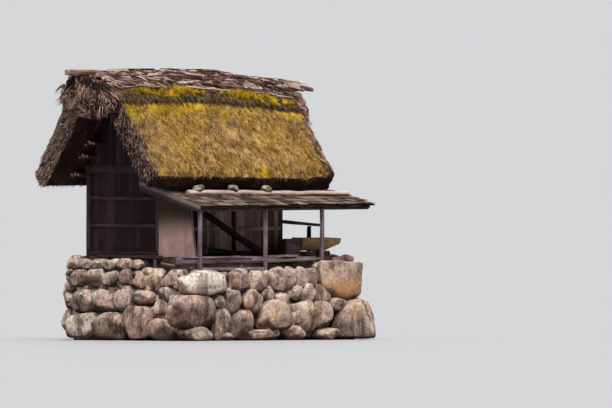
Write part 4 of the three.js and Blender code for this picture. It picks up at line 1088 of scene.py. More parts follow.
def at_eave(side, count, seed):
    """Cut ends at the eave: they start in the lip and point out and down, so that the edge looks combed."""
    rng = np.random.default_rng(seed)
    x, deep = rng.uniform(*VERGE, count), rng.uniform(0, 1.0, count)
    root = thatch_place(side, x, 0.975, deep)
    slant = (1.1 - 0.7 * deep)[:, None] * slope_axes(side)[0]
    heading = unit(slant + rng.normal(0, 0.14, (count, 3)) + (0, 0, -0.3))
    length, radius = rng.uniform(0.05, 0.12, count), rng.uniform(0.005, 0.010, count)
    # Painted shade: the deeper an end sits in the lip, the darker it is painted, as the lip's face that looks
    # down.
    wear_and_shade = np.clip(0.45 + 1.6 * deep, 0, 1)
    return rods(root, heading, length, radius, seed, rng.uniform(0.1, 0.8, count), 0, wear_and_shade, drop=0.01)


def at_verge(side, end, count, seed):
    """Weathered ends over a verge's cut face: they stick out of it a little, and lie down the slope."""
    rng = np.random.default_rng(seed)
    down, deep = rng.uniform(0.03, 0.97, count), rng.uniform(0, 1, count)
    out = -1 if end == 0 else 1
    root = thatch_place(side, VERGE[end] - 0.02 * out, down, deep)
    heading = unit((0.35 * out, 0, 0) + slope_axes(side)[0] + rng.normal(0, 0.30, (count, 3)))
    length, radius = rng.uniform(0.04, 0.14, count), rng.uniform(0.006, 0.013, count)
    # Painted light and shade: the rear verge's ends are painted lighter, as that side lies in shade, and deep
    # ends darker, more at the front; the mauve is real weathering.
    rear_painted_light, wear_and_shade_by_depth = (0.17, 0.20) if side > 0 else (0, 0.35)
    tint = rng.uniform(0.05, 0.95, count) + rear_painted_light
    wear_and_shade = np.clip(0.45 + wear_and_shade_by_depth * deep + rng.normal(0, 0.12, count), 0.3, 0.9)
    return rods(root, heading, length, radius, seed, tint, 0, wear_and_shade, drop=0.008)


# %% Straw finish
def straw_finish(name):
    """One value, from tint and noises, picks a place on each ramp: gold, peach, mauve, the underside's painted
    shade and moss.
    """
    finish = Finish(name, 0.15)
    fleck = finish.noise(30, 6, 0.75)
    streak = finish.streaks(finish.read("grain", "Vector"), (8, 28, 28), 4, 0.65)
    value = finish.read("tint") * 0.4 + fleck * 0.25 + finish.noise(7, 5, 0.7) * 0.15 + streak * 0.35
    wear_and_shade = finish.read("cut")
    gold = finish.ramp(value, (0.42, 78, 60, 30), (0.51, 138, 106, 50), (0.60, 186, 146, 76),
                       (0.72, 226, 184, 104))
    peach = finish.ramp(value, (0.42, 80, 60, 38), (0.51, 142, 109, 66), (0.60, 190, 151, 98),
                        (0.72, 222, 182, 124))
    base = finish.mix(finish.noise(1.4, 4).between(0.42, 0.60), gold, peach)
    speck = finish.noise(24, 4, 0.75).between(0.46, 0.40)
    base = finish.mix(speck * 0.8, base, (58, 50, 22))
    mauve = finish.ramp(value, (0.45, 26, 18, 16), (0.55, 68, 51, 46), (0.63, 120, 96, 87),
                        (0.70, 182, 156, 142))
    base = finish.mix(wear_and_shade.between(0.10, 0.45), base, mauve)
    # Painted shade: where the cut channel is high, on the underside, the eave's lip and deep straw, the straw
    # is painted near black as shade under the eave.
    under = finish.ramp(value, (0.42, 20, 12, 12), (0.58, 46, 28, 25), (0.74, 96, 64, 54))
    base = finish.mix(wear_and_shade.between(0.62, 0.92), base, under)
    green = finish.ramp(value, (0.44, 74, 62, 14), (0.54, 158, 126, 28), (0.64, 212, 168, 40))
    base = finish.mix((finish.read("moss") + fleck * 1.2).between(0.72, 1.06), base, green)
    finish.dress(base, 0.95, fleck + streak, 0.9, 0.03)


straw_finish("weathered_straw")
for side, name, tufts, seed in ((-1, "thatch_front", 1500, 1400), (1, "thatch_rear", 700, 1500)):
    add_piece(name + "_coat", [thatch_body(side, seed)], "weathered_straw", "thatch", [name])
    ends = [at_eave(side, 2200, seed + 30)]
    ends += [at_verge(side, 0, 1500, seed + 40), at_verge(side, 1, 800, seed + 50)]
    ends += [under_lip(1100, seed + 60)] if side < 0 else []
    add_piece(name + "_straw", [on_slope(side, tufts, seed + 20), *ends], "weathered_straw", "thatch")

# %% [markdown]
# The ridge is closed by a cap: a layer of straw, a layer of moss over it and sheets of bark on top, laid
# saddle-wise. The cap's body is a block again. Its top steps down where the moss ends and straw comes out.

# %% The ridge cap
CAP_TOP = np.array([
    (0, 4.470), (0.30, 4.390), (0.60, 4.195), (0.78, 4.100), (0.815, 4.010), (0.92, 3.950), (0.975, 3.865),
])
CAP_UNDER = np.array([(0, 4.36), (0.45, 4.20), (0.85, 3.93), (0.93, 3.84)])
CAP_END = tuple(corner[0] for corner in hut_box("ridge_cap"))
BARK_SHEETS = 190


def cap_place(x, across, deep=0):
    """across: from the rear edge (-1) over the ridge (0) to the front edge (1); deep: 0 on top, 1 below."""
    top_offset, top_height = along(CAP_TOP, np.abs(across))
    low_offset, low_height = along(CAP_UNDER, np.abs(across))
    top_height = top_height + 0.020 * np.sin(x / 0.190 - np.sign(across) * top_offset / 0.150)
    offset = top_offset + (low_offset - top_offset) * deep
    return xyz(x, MIDDLE_Y - np.sign(across) * offset, top_height + (low_height - top_height) * deep - sag(x))


def cap_body(seed):
    """A grid on the cap, raised by noise on top and pushed in by noise at its two ends."""
    ridge, across, deep, faces = lattice(110, np.linspace(-1, 1, 61), 4)
    points = cap_place(CAP_END[0] + (CAP_END[1] - CAP_END[0]) * ridge, across, deep)
    points[:, 2] += (deep == 0) * 0.020 * rough(points, (0.4, 0.12, 0.12), seed)
    points[:, 0] += (1.0 * (ridge == 0) - (ridge == 1)) * (0.03 + 0.03 * rough(points, 0.12, seed + 1))
    return shape(points, faces, points, 0.3 + 0.2 * rough(points, 0.2, seed + 2))


# %% Bark sheets on the cap
def bark_sheet(x, across, long, wide, seed, lift):
    """A curled sheet lying on the cap: a thin block bent over the cap's top, with torn ends."""
    rng = np.random.default_rng(seed)
    u, v, deep, faces = lattice(np.linspace(-0.5, 0.5, 7), np.linspace(-0.5, 0.5, 6), 2)
    torn = 0.12 * rough(xyz(3 * v, seed, 0), 0.5, seed, 2)
    at_x = x + long * (u + torn * np.abs(u) * 2)
    points = cap_place(np.clip(at_x, *CAP_END), np.clip(across + wide * v + rng.normal(0, 0.08) * u, -1, 1))
    points[:, 2] += lift + 0.018 * deep + 0.10 * wide * (2 * v) ** 2 * (0.5 - deep * 0.2)
    points[:, 2] += 0.008 * rough(points, (0.3, 0.05, 0.05), seed, 2)
    grain = xyz(u * long, v * wide, deep * 0.02) + rng.uniform(-ANYWHERE, ANYWHERE, 3)
    return shape(points, faces, grain, rng.uniform(0.2, 1.0))


rng = np.random.default_rng(1600)
sheets = []
for n in range(BARK_SHEETS):
    across = rng.choice([-1, 1]) * rng.uniform(0.02, 0.56)
    long, wide = rng.uniform(0.35, 1.0), rng.uniform(0.06, 0.15)
    x = rng.uniform(CAP_END[0] + 0.25, CAP_END[1] - 0.25)
    sheets.append(bark_sheet(x, across, long, wide, 1610 + n, rng.uniform(0.0, 0.04)))
add_piece("ridge_cap_bark", [cap_body(1600), *sheets], "cap_bark", "bark", ["ridge_cap"])


# %% Straw under the cap
def cap_straw(count, seed):
    """Dark straw that comes out under the moss along both sides of the cap and hangs over the thatch."""
    rng = np.random.default_rng(seed)
    side = rng.choice([-1.0, 1.0], count)
    root = cap_place(rng.uniform(*CAP_END, count), side * rng.uniform(0.76, 0.97, count), 0.03)
    downward, outward = slope_axes(-side)
    heading = unit(downward + 0.16 * outward + rng.normal(0, 0.17, (count, 3)))
    droop = unit(downward + rng.normal(0, 0.2, (count, 3)) - 0.2 * outward)
    half = rng.uniform(0.10, 0.20, count)[:, None] / 2
    middle = root + half * heading
    radius = rng.uniform(0.006, 0.013, count)
    return stalks(root, middle, middle + half * droop, radius, seed, rng.uniform(0.0, 1.0, count))


add_piece("ridge_cap_straw", [cap_straw(4600, 1780)], "dark_straw", "bark")

# %% [markdown]
# Moss grows as a thick, knobbly band on the cap's lower half, where it stays damp. Where it is thick it is
# painted yellow and at its foot green, partly its own colour and partly painted light and shade. The band is
# a strip whose top is raised by noise; where that is low it sinks below the bark.

# %% Moss on the cap
MOSS_FROM, MOSS_WIDE = 0.52, 0.34


def moss_finish(name):
    """The tint, fine flecks and broad patches add up to a place from dark olive to yellow."""
    finish = Finish(name, 0.1)
    fleck = finish.noise(50, 5, 0.7)
    value = finish.read("tint") * 0.42 + (fleck * 0.3 + finish.noise(2.4, 5, 0.7) * 0.9) - 0.24
    base = finish.ramp(value, (0.34, 42, 36, 10), (0.50, 102, 82, 16), (0.64, 178, 138, 22),
                       (0.80, 222, 182, 46))
    finish.dress(base, 1, fleck, 1, 0.03)


def moss_thickness(points, upright):
    """How far the moss rises over the bark: broad beds, knobs on them, and edges that fade."""
    edge = np.sin(np.pi * np.clip(upright, 0, 1)) ** 0.6
    beds = 0.60 + 0.60 * rough(points, (0.6, 0.3, 0.3), 1801, 2)
    thin_left = 0.45 + 0.55 * ease(points[:, 0], -0.6, 1.6)
    return 0.105 * edge * thin_left * (beds + 0.45 * rough(points, 0.09, 1803, 2)) - 0.026


# %% Beds and shoots of moss
def moss_band(side):
    """Its foot lies below the bark, its top a thickness above it, and both ends dip under."""
    ridge, upright, deep, faces = lattice(300, 17, 2)
    x = CAP_END[0] + 0.12 + (CAP_END[1] - CAP_END[0] - 0.16) * ridge
    wavy = 0.10 * rough(xyz(x, side, 0), 0.5, 1805)
    points = cap_place(x, side * (MOSS_FROM + (MOSS_WIDE + wavy) * upright))
    raised = np.where(deep == 0, -0.05, moss_thickness(points, upright))
    inner = (ridge > 0) & (ridge < 1)
    points = points + np.where(inner, raised, -0.04)[:, None] * slope_axes(-side)[1]
    # The tint rises with the moss's thickness: partly its own colour, partly painted light on the raised top
    # and painted shade at its foot.
    return shape(points, faces, None, np.clip(0.25 + 6 * raised + 0.25 * rough(points, 0.12, 1806), 0, 1))


def moss_tufts(side, count, seed):
    """Short shoots over the band, so that its outline isn't smooth."""
    rng = np.random.default_rng(seed)
    x, upright = rng.uniform(CAP_END[0] + 0.2, CAP_END[1] - 0.1, count), rng.uniform(0.1, 0.95, count)
    on_cap = cap_place(x, side * (MOSS_FROM + MOSS_WIDE * upright))
    thick = moss_thickness(on_cap, upright)
    outward = slope_axes(-side)[1]
    root = (on_cap + (thick - 0.01)[:, None] * outward)[thick > 0.004]
    heading = unit(outward + rng.normal(0, 0.5, (len(root), 3)) + (0, 0, 0.1))
    length = rng.uniform(0.02, 0.05, len(root))
    return rods(root, heading, length, 0.011, seed, rng.uniform(0.35, 1.0, len(root)), bend=0.6)


moss_finish("ridge_moss")
beds = [part for side in (-1, 1) for part in (moss_band(side), moss_tufts(side, 2600, 1810 + side))]
add_piece("ridge_moss", beds, "ridge_moss", "thatch")

# %% [markdown]
# Long poles in their bark lie along the ridge, one above another like roof stones on a shingle roof. The four
# big ones are solids of the frame; the thinner ones between them are dressed here.

# %% Ridge poles
POLE_REST = np.array([(0, 4.500), (0.30, 4.420), (0.60, 4.225), (0.79, 4.130)])
# Solid, offset from the ridge, start, end, radius
RIDGE_POLES = [
    ("ridge_pole_top", 0.00, -2.00, 6.70, 0.080),
    ("ridge_pole_front", 0.28, -1.25, 6.15, 0.062),
    ("ridge_pole_low", 0.54, -0.90, 5.80, 0.050),
    ("ridge_pole_rear", -0.30, -1.50, 6.30, 0.062),
]
# Offset from the ridge, start, end, radius
THIN_POLES = [
    (0.11, -1.3, 2.6, 0.046), (-0.12, -1.7, 1.6, 0.046), (0.16, 1.1, 5.7, 0.044), (0.4, -1.15, 3.3, 0.038),
    (0.44, 2.2, 5.9, 0.034), (0.19, -1.1, 0.9, 0.04), (-0.16, 0.3, 5.3, 0.044), (-0.44, -0.8, 4.9, 0.038),
    (0.36, 0.2, 4.6, 0.032), (0.64, -0.7, 2.6, 0.022), (0.66, 1.6, 5.3, 0.02), (-0.64, -0.3, 5.2, 0.026),
]
LOOSE_SHEETS = 110


# %% A pole's line and taper
def ridge_line(offset, start, end, radius, seed, wander=0.0):
    """Follows the cap's sagging top in slow bends, and drifts off it by some noise."""
    x = np.linspace(start, end, 50)
    rest = np.interp(abs(offset), *POLE_REST.T)
    y = MIDDLE_Y - offset + 0.026 * np.sin(x / 0.62 + offset / 0.09)
    path = xyz(x, y, rest - sag(x) + radius - 0.008 + 0.016 * np.sin(x / 0.41 + offset / 0.07))
    return path + wander * xyz(0, rough(path, 1.0, seed), 0.5 * rough(path, 0.7, seed + 3))


def ridge_pole(path, radius, thin, seed, sides, bark, tint):
    """Tapers to a share of its first radius."""
    return tube(path, radius * np.linspace(1, thin, len(path)), seed, sides, bark, tint)


for number, (name, offset, start, end, radius) in enumerate(RIDGE_POLES):
    path = ridge_line(offset, start + 0.01, end - 0.01, radius * 0.96, 1900 + number)
    pole = ridge_pole(path, radius * 0.97, 0.75, 1900 + number, 16, 0.016, 0.45)
    add_piece(name + "_log", [pole], "ridge_bark", "ridge_poles", [name])
thin_poles = []
for number, line in enumerate(THIN_POLES):
    path = ridge_line(*line, 1930 + number, 0.05)
    thin_poles.append(ridge_pole(path, line[3], 0.5, 1930 + number, 9, 0.012, 0.2 + 0.06 * number))
add_piece("ridge_thin_poles", thin_poles, "ridge_bark", "ridge_poles")


# %% Loose bark on the ridge poles
def bark_wrap(offset, start, long, radius, turn, spread, seed):
    """A sheet of bark that stands off a pole: part of a tube, curled at its sides and torn at its ends."""
    rng = np.random.default_rng(seed)
    u, v, deep, faces = lattice(10, np.linspace(-1, 1, 6), 2)
    x = start + long * (u + 0.10 * rough(xyz(2 * v, seed, u), 0.6, seed, 2))
    line = ridge_line(offset, start - 0.2, start + long + 0.2, radius, seed)
    y, height = (np.interp(x, line[:, 0], line[:, k]) for k in (1, 2))
    angle = turn + spread * v + 0.3 * rng.normal() * u
    away = radius + 0.008 + 0.008 * deep + rng.uniform(0, 0.03) * v**2
    away = away + 0.010 * rough(xyz(x, angle, 0), (0.25, 0.4, 1), seed, 2)
    grain = xyz(x, angle * 0.08, away) + rng.uniform(-ANYWHERE, ANYWHERE, 3)
    points = xyz(x, y - away * np.sin(angle), height + away * np.cos(angle))
    return shape(points, faces, grain, rng.uniform(0.10, 0.90))


wraps = []
rng = np.random.default_rng(1960)
for n in range(LOOSE_SHEETS):
    name, offset, start, end, radius = RIDGE_POLES[rng.choice(4, p=[0.45, 0.3, 0.1, 0.15])]
    long = rng.uniform(0.25, 0.9)
    begin = rng.uniform(max(start + 0.5, -1.1), end - long - 0.2)
    turn, spread = rng.uniform(-0.7, 1.1), rng.uniform(0.2, 0.55)
    wraps.append(bark_wrap(offset, begin, long, radius, turn, spread, 1961 + n))
add_piece("ridge_loose_bark", wraps, "loose_bark", "ridge_poles")


# %% Brush over the ridge poles
def ridge_brush(count, seed):
    """Bark fibres and twigs over the poles. Noise turns their lie, so that they cross the ridge in tufts."""
    rng = np.random.default_rng(seed)
    x = rng.uniform(CAP_END[0] - 0.1, CAP_END[1] + 0.1, count)
    offset = rng.uniform(-0.5, 0.62, count)
    level = np.interp(np.abs(offset), *POLE_REST.T) + 0.145 - 0.08 * np.abs(offset)
    root = xyz(x, MIDDLE_Y - offset, level - sag(x) - rng.uniform(0.0, 0.07, count))
    turn = 0.25 + 0.9 * rough(root, (0.45, 0.3, 0.3), seed, 2) + rng.normal(0, 0.22, count)
    lean = -0.35 * offset + rng.normal(0, 0.10, count)
    heading = unit(xyz(np.cos(turn), -np.sin(turn) * np.sign(offset), lean - 0.4 * np.abs(np.sin(turn))))
    half = rng.uniform(0.10, 0.34, count)[:, None] / 2
    middle = root + half * heading + (0, 0, 0.012)
    radius = rng.uniform(0.008, 0.019, count)
    tint = np.clip(0.5 + 0.5 * rough(root, 0.25, seed + 3, 2) + rng.normal(0, 0.2, count), 0, 1)
    return stalks(root, middle, middle + half * heading - (0, 0, 0.02), radius, seed, tint)


add_piece("ridge_brush_fibres", [ridge_brush(2600, 2090)], "loose_bark", "ridge_poles")

# %% [markdown]
# Under each end of the ridge hangs a shaggy bundle of bark strips and brush. A dark, lumpy core fills the
# solid's place. Strands are combed over it in locks, each its own way, and a few fans of strips droop.

# %% Gable bundles
# The core's outlines beside the cap and at its open end: offset from the ridge (below 0 at the front), height
CORE_INNER = np.array([
    (0, 4.44), (-0.3, 4.37), (-0.62, 4.16), (-0.94, 3.85), (-0.9, 3.56), (-0.48, 3.5),
    (-0.15, 3.58), (0.18, 3.62), (0.47, 3.66), (0.52, 4.0), (0.3, 4.33),
])
CORE_OUTER = np.array([
    (0, 4.498), (-0.33, 4.42), (-0.6, 4.2), (-0.82, 3.94), (-0.76, 3.6), (-0.45, 3.44),
    (-0.2, 3.52), (0.24, 3.58), (0.47, 3.64), (0.53, 4.0), (0.33, 4.4),
])
CORE_STEPS = 66

# %% One bundle
# Where a fan starts (share of the way out, offset, height), how far its roots spread, the way it lies (out,
# sideways, up), count, length
FANS = [
    ((0.55, -0.68, 3.92), (0.25, 0.1, 0.08), (-0.2, -0.6, -0.8), 60, 0.3),
    ((0.8, -0.62, 3.74), (0.15, 0.14, 0.08), (0.1, -0.3, -1.0), 50, 0.3),
    ((0.2, -0.8, 4.05), (0.15, 0.06, 0.06), (-0.2, -0.4, -0.8), 30, 0.26),
    ((0.95, 0.3, 4.1), (0.05, 0.25, 0.2), (0.5, 0.5, -0.6), 50, 0.24),
]


class Bundle:
    """One bundle, from the cap to its open end. Its offsets shrink to a share on the low right end."""

    def __init__(self, x_from, x_to, share):
        self.x_from, self.x_to, self.share = x_from, x_to, share
        self.long, self.out = x_to - x_from, np.sign(x_to - x_from)

    def core(self, seed):
        """The solid's own outlines from the cap to the open end, a little inside them and full of lumps."""
        out = np.linspace(0, 1, 16)[:, None, None]
        outlines = (CORE_INNER + (CORE_OUTER - CORE_INNER) * out) * (self.share, 1)
        closed = np.concatenate([outlines, outlines[:, :1]], axis=1)
        corners = range(len(CORE_INNER) + 1)
        steps = np.linspace(0, corners[-1], CORE_STEPS + 1)[:-1]
        rings = np.array([[np.interp(steps, corners, line[:, k]) for k in (0, 1)] for line in closed])
        middle = rings.mean(axis=2, keepdims=True)
        offset, height = np.moveaxis(middle + 0.93 * (rings - middle), 1, 0)
        x = self.x_from + self.long * out[..., 0] * 0.96
        rings = xyz(x, MIDDLE_Y + offset, height - sag(x))
        lumps = shake(rings.reshape(-1, 3), (0.16, 0.14, 0.14), seed, 3) * (0.6, 1, 1)
        points, faces = skin(rings + 0.035 * lumps.reshape(rings.shape))
        return shape(points, faces, points * (1, 3, 3), 0.05)

    def place(self, on_skin, around, lift):
        """A place on the bundle: on_skin runs from the cap (0) to the open end's rim (1) and over that end to
        its middle (2); around goes once round the outline; lift is the height above the skin."""
        out, inward = np.clip(on_skin, 0, 1)[:, None], np.clip(on_skin - 1, 0, 0.95)[:, None]
        inner, outer = (np.stack(along(np.concatenate([line, line[:1]]), around % 1), axis=1)
                        for line in (CORE_INNER, CORE_OUTER))
        rim = inner * (1 - out) + outer * out
        centre = CORE_OUTER.mean(axis=0)
        flat = centre + (rim - centre) * (1 - inward) + unit(rim - centre) * lift[:, None] * (inward < 0.02)
        x = self.x_from + self.long * (0.96 * out[:, 0] + 0.06 * np.sin(np.pi * inward[:, 0] / 1.9))
        x = x + self.out * lift * (inward[:, 0] > 0)
        return xyz(x, MIDDLE_Y + self.share * flat[:, 0], flat[:, 1] - sag(x))

    def combed(self, count, seed):
        """Strands that lie on the skin. Noise turns them from one lock to the next, from across to along."""
        rng = np.random.default_rng(seed)
        on_skin, around = rng.uniform(0.0, 1.95, count), rng.uniform(0, 1, count)
        lock = self.place(on_skin, around, np.zeros(count))
        turn = 2.6 * rough(lock, 0.30, seed, 2) + rng.normal(0, 0.28, count)
        length = rng.uniform(0.14, 0.40, count)
        step_out = length * np.sin(turn) / np.where(on_skin < 1, abs(self.long), 0.55)
        step_around = length * np.cos(turn) / (3.0 * (1 - np.clip(on_skin - 1, 0, 0.9)))
        high = rng.uniform(0.3, 1.4, count)
        places = [
            self.place(np.clip(on_skin + part * step_out, 0, 1.95), around + part * step_around, lift * high)
            for part, lift in ((0, 0.005), (0.5, 0.040), (1, 0))
        ]
        shade = np.clip(0.38 + 0.8 * rough(lock, 0.22, seed + 5, 2) + rng.normal(0, 0.22, count), 0, 1)
        return stalks(*places, rng.uniform(0.006, 0.017, count), seed, shade)

    def fan(self, start, spread, lie, count, length, seed):
        """Strips of bark that fan out from one place and droop at their tips."""
        rng = np.random.default_rng(seed)
        out, offset, height = (np.asarray(start) + rng.uniform(-1, 1, (count, 3)) * spread).T
        x = self.x_from + self.long * out
        root = xyz(x, MIDDLE_Y + self.share * offset, height - sag(x))
        heading = unit(np.asarray(lie) * (self.out, 1, 1) + rng.normal(0, 0.28, (count, 3)))
        half = (length * rng.uniform(0.6, 1.3, count))[:, None] / 2
        middle = root + half * heading
        tip = middle + half * unit(heading + (0, 0, -0.5))
        radius, tint = rng.uniform(0.010, 0.026, count), rng.uniform(0.45, 1.0, count)
        return stalks(root, middle, tip, radius, seed, tint)

    def strands(self, count, seed):
        """Long strands that fell loose: they hang down from the bundle's lower edge."""
        rng = np.random.default_rng(seed)
        side, x = rng.uniform(-0.90, 0.45, count), rng.uniform(*sorted((self.x_from, self.x_to)), count)
        root = xyz(x, MIDDLE_Y + side, 3.62 - sag(x))
        length = rng.uniform(0.05, 0.22, count)[:, None]
        drift = rng.normal(0, 0.15, (count, 3)) * (1, 1, 0)
        middle, tip = root + length * (drift + (0, 0, -0.5)), root + length * (1.8 * drift + (0, 0, -1))
        return stalks(root, middle, tip, rng.uniform(0.004, 0.009, count), seed, rng.uniform(0.2, 1.0, count))


# %% Both bundles
BUNDLES = [
    ("gable_bundle_left", Bundle(-1.03, -1.64, 1.0), 2000),
    ("gable_bundle_right", Bundle(5.43, 5.90, 0.84), 2100),
]
for name, bundle, seed in BUNDLES:
    fans = [bundle.fan(*values, seed + 20 * n) for n, values in enumerate(FANS)]
    shapes = [bundle.core(seed), bundle.combed(2100, seed + 5), *fans, bundle.strands(90, seed + 9)]
    add_piece(name + "_brush", shapes, "twig_brown", "bark", [name])

# %% [markdown]
# The lean-to's roof is of split shingles, nailed in courses from the eave up so that each course covers the
# nails of the one below. Every shingle has its own width and warp, and its lower end has weathered ragged.

# %% The lean-to's roof
SHED_LOW, SHED_HIGH = hut_box("lean_to_roof")
SHED_EAVE_Z = 1.26, 1.30
SHED_WALL_Z = 1.76, 1.64
SHED_Y = SHED_LOW[1], SHED_HIGH[1]
SHED_THICK = 0.08
SHINGLE_COURSES = 6
STEP = (SHED_Y[1] - SHED_Y[0]) / SHINGLE_COURSES


def part_way(ends, share):
    """A share of the way from the first end to the second."""
    return ends[0] + (ends[1] - ends[0]) * share


def shed_top(x, y):
    """The roof's top is a twisted plane: its height at the eave and at the wall both change along X."""
    t = (x - SHED_LOW[0]) / (SHED_HIGH[0] - SHED_LOW[0])
    eave, wall = part_way(SHED_EAVE_Z, t), part_way(SHED_WALL_Z, t)
    return eave + (wall - eave) * (y - SHED_Y[0]) / (SHED_Y[1] - SHED_Y[0])


def shed_under(x, y):
    """The slab's underside, which the poles carry."""
    return shed_top(x, y) - SHED_THICK


def shingle(x, y, wide, long, seed, tint, moss):
    """A thin block that lies on the course below; its lower end is lifted by a shingle and torn."""
    u, v, deep, faces = lattice(np.linspace(-0.5, 0.5, 5), 5, 2)
    torn = 0.022 * rough(xyz(5 * u, seed * 0.37, 0), 1.0, seed, 2) * (1 - v)
    at_x = np.clip(x + wide * u, SHED_LOW[0], SHED_HIGH[0])
    at_y = y + long * v + torn
    warp = 0.006 * np.sin(seed) * u**2 * 4 + 0.006 * math.sin(seed * 1.7) * (1 - v)
    lift = 0.016 + 0.030 * (1 - v) + warp - 0.012 * (1 - deep)
    height = shed_top(at_x, np.minimum(at_y, SHED_Y[1])) - 0.045 + lift
    points = xyz(at_x, np.clip(at_y, SHED_Y[0] - 0.03, SHED_Y[1]), height)
    return shape(points, faces, xyz(v * long, u * wide, deep * 0.012) + seed * 1.7, tint,
                 moss * np.clip(1.3 - 2.0 * v, 0, 1))


# %% Courses of shingles on their deck
rng = np.random.default_rng(2200)
shingles = []
for course in range(SHINGLE_COURSES):
    x = SHED_LOW[0]
    while x < SHED_HIGH[0] - 0.03:
        wide = min(rng.uniform(0.14, 0.30), SHED_HIGH[0] - x)
        moss = np.clip(0.6 * rough([(x, course * 0.3, 0)], 0.7, 2201, 2)[0] + 0.35 - 0.10 * x, 0, 0.42)
        y = SHED_Y[0] + STEP * course + rng.uniform(-0.02, 0.02) + 0.03 * math.sin(2.1 * x + course)
        number = len(shingles) + 1
        tint = rng.uniform(0.25, 0.85)
        shingles.append(shingle(x + wide / 2, y, wide - 0.004, 1.6 * STEP, number, tint, moss))
        x += wide
u, v, deep, faces = lattice(40, 12, 2)
x, y = part_way((SHED_LOW[0], SHED_HIGH[0]), u), part_way((SHED_Y[0] + 0.03, SHED_Y[1]), v)
deck = shape(xyz(x, y, shed_under(x, y) + 0.034 * deep), faces, None, 0.1)
add_piece("lean_to_shingles", [*shingles, deck], "shingle_wood", "shingles", ["lean_to_roof"])
print("shingles:", len(shingles))

# %% The lean-to's frame
SHED_RAFTER_X = 0.0, 0.86, 1.72, 2.58, 3.44, 4.31, 5.10, 5.80
POST_Y = -1.45

shed_poles = []
for n, x in enumerate(SHED_RAFTER_X):
    ends = [(x, y, shed_under(x, y) - 0.030) for y in (SHED_Y[0] + 0.03, SHED_Y[1] - 0.002)]
    shed_poles.append(log(*ends, 0.036, 0.029, 2300 + n, 9, 0.004, 0.01, 0.5))
for n, (y, over, radius) in enumerate(((POST_Y, POST_Y, 0.050), (-0.046, -0.06, 0.042))):
    ends = [(x, y, shed_under(x, over) - 0.087) for x in (SHED_LOW[0] + 0.03, SHED_HIGH[0] - 0.06)]
    shed_poles.append(log(*ends, radius, radius * 0.92, 2320 + n, 12, 0.005, 0.01, 0.6))
add_piece("lean_to_poles", shed_poles, "dark_timber", "dark_timber", ["lean_to_frame"])
for n, name in enumerate(POSTS):
    post = hewn(*hut_box(name), 2340 + n, 0.016, 0.008, tint=0.55)
    add_piece(name + "_hewn", [post], "grey_timber", "grey_timber", [name])

# %% Barge board, weight pole and roof stones
BARGE_FOOT, BARGE_TOP = (1.085, 1.620), (1.255, 1.860)
BARGE_CHAMFER = 0.06
PLANK_DEEP = 0, 0.15, 0.85, 1
WEIGHT_ENDS = (0.25, -0.735), (5.90, -0.79)
ROOF_STONE_KINDS = 0.34, 0.42, 0.28

low, high = hut_box("barge_board")
u, v, deep, faces = lattice(26, (0, BARGE_CHAMFER, 1 - BARGE_CHAMFER, 1), PLANK_DEEP)
edge = np.minimum(np.minimum(v, 1 - v) / BARGE_CHAMFER, 1)
foot, top = part_way(BARGE_FOOT, u), part_way(BARGE_TOP, u)
x = part_way((low[0], high[0]), 0.5 + (deep - 0.5) * (0.8 + 0.2 * edge))
y, z = part_way((low[1], high[1]), u), foot + (top - foot) * v
z = z + 0.004 * rough(xyz(y, z, 0), 0.5, 2350, 2)
barge = shape(xyz(x, y, z), faces, xyz(y, z, x), 0.5, cut=v > 0.9)
add_piece("barge_board_plank", [barge], "violet_board", "barge_paint", ["barge_board"])

pole = log(*((*at, shed_top(*at) + 0.046) for at in WEIGHT_ENDS), 0.062, 0.054, 2360, 14, 0.014, 0.02, 0.7)
add_piece("weight_pole_log", [pole], "pale_pole", "pale_pole", ["weight_pole"])
for number, kind_of_stone in enumerate(ROOF_STONE_KINDS):
    name = f"roof_stone_{number + 1}"
    low, high = hut_box(name)
    size = (high - low) * 1.12 + (0, 0, 0.02)
    rock = worn_stone((low + high) / 2 + (0, 0, 0.005), size, 2370 + number, 14, 30, kind_of_stone)
    add_piece(name + "_rock", [rock], "field_stone", "boulders", [name], CHIPPED)

# %% [markdown]
# Plaster closes the lean-to's left end down to a slanting edge. It is clay with chopped straw, trowelled by
# hand, so it bulges a little; under the roof it is painted darker as painted shade.

# %% Plaster
FREE_EDGE_Y = -1.290, -1.095
FREE_EDGE_FROM, FREE_EDGE_TO = (0, -1.316), (0, -1.119)


def plaster_finish(name):
    """Clouds and grit pick the colour; then dark runs, and painted shade that starts under the roof."""
    finish = Finish(name, 0.15)
    cloud = finish.noise(2.2, 6, 0.65)
    value = cloud * 0.7 + finish.noise(70, 5, 0.7) * 0.3
    base = finish.ramp(value, (0.34, 132, 105, 98), (0.52, 168, 138, 130), (0.68, 194, 164, 152))
    runs = finish.streaks(finish.at, (7, 7, 0.6), 4).between(0.54, 0.70)
    base = finish.mix(runs * 0.25, base, (96, 74, 62))
    # Painted shade: the plaster darkens towards the roof above it, as the roof's shadow.
    painted_roof_shade = (finish.height_of(finish.at) + cloud * 0.3).between(2.6, 3.35)
    base = finish.mix(painted_roof_shade * 0.93, base, (42, 30, 24))
    finish.dress(base, 0.92, value, 0.4, 0.015)


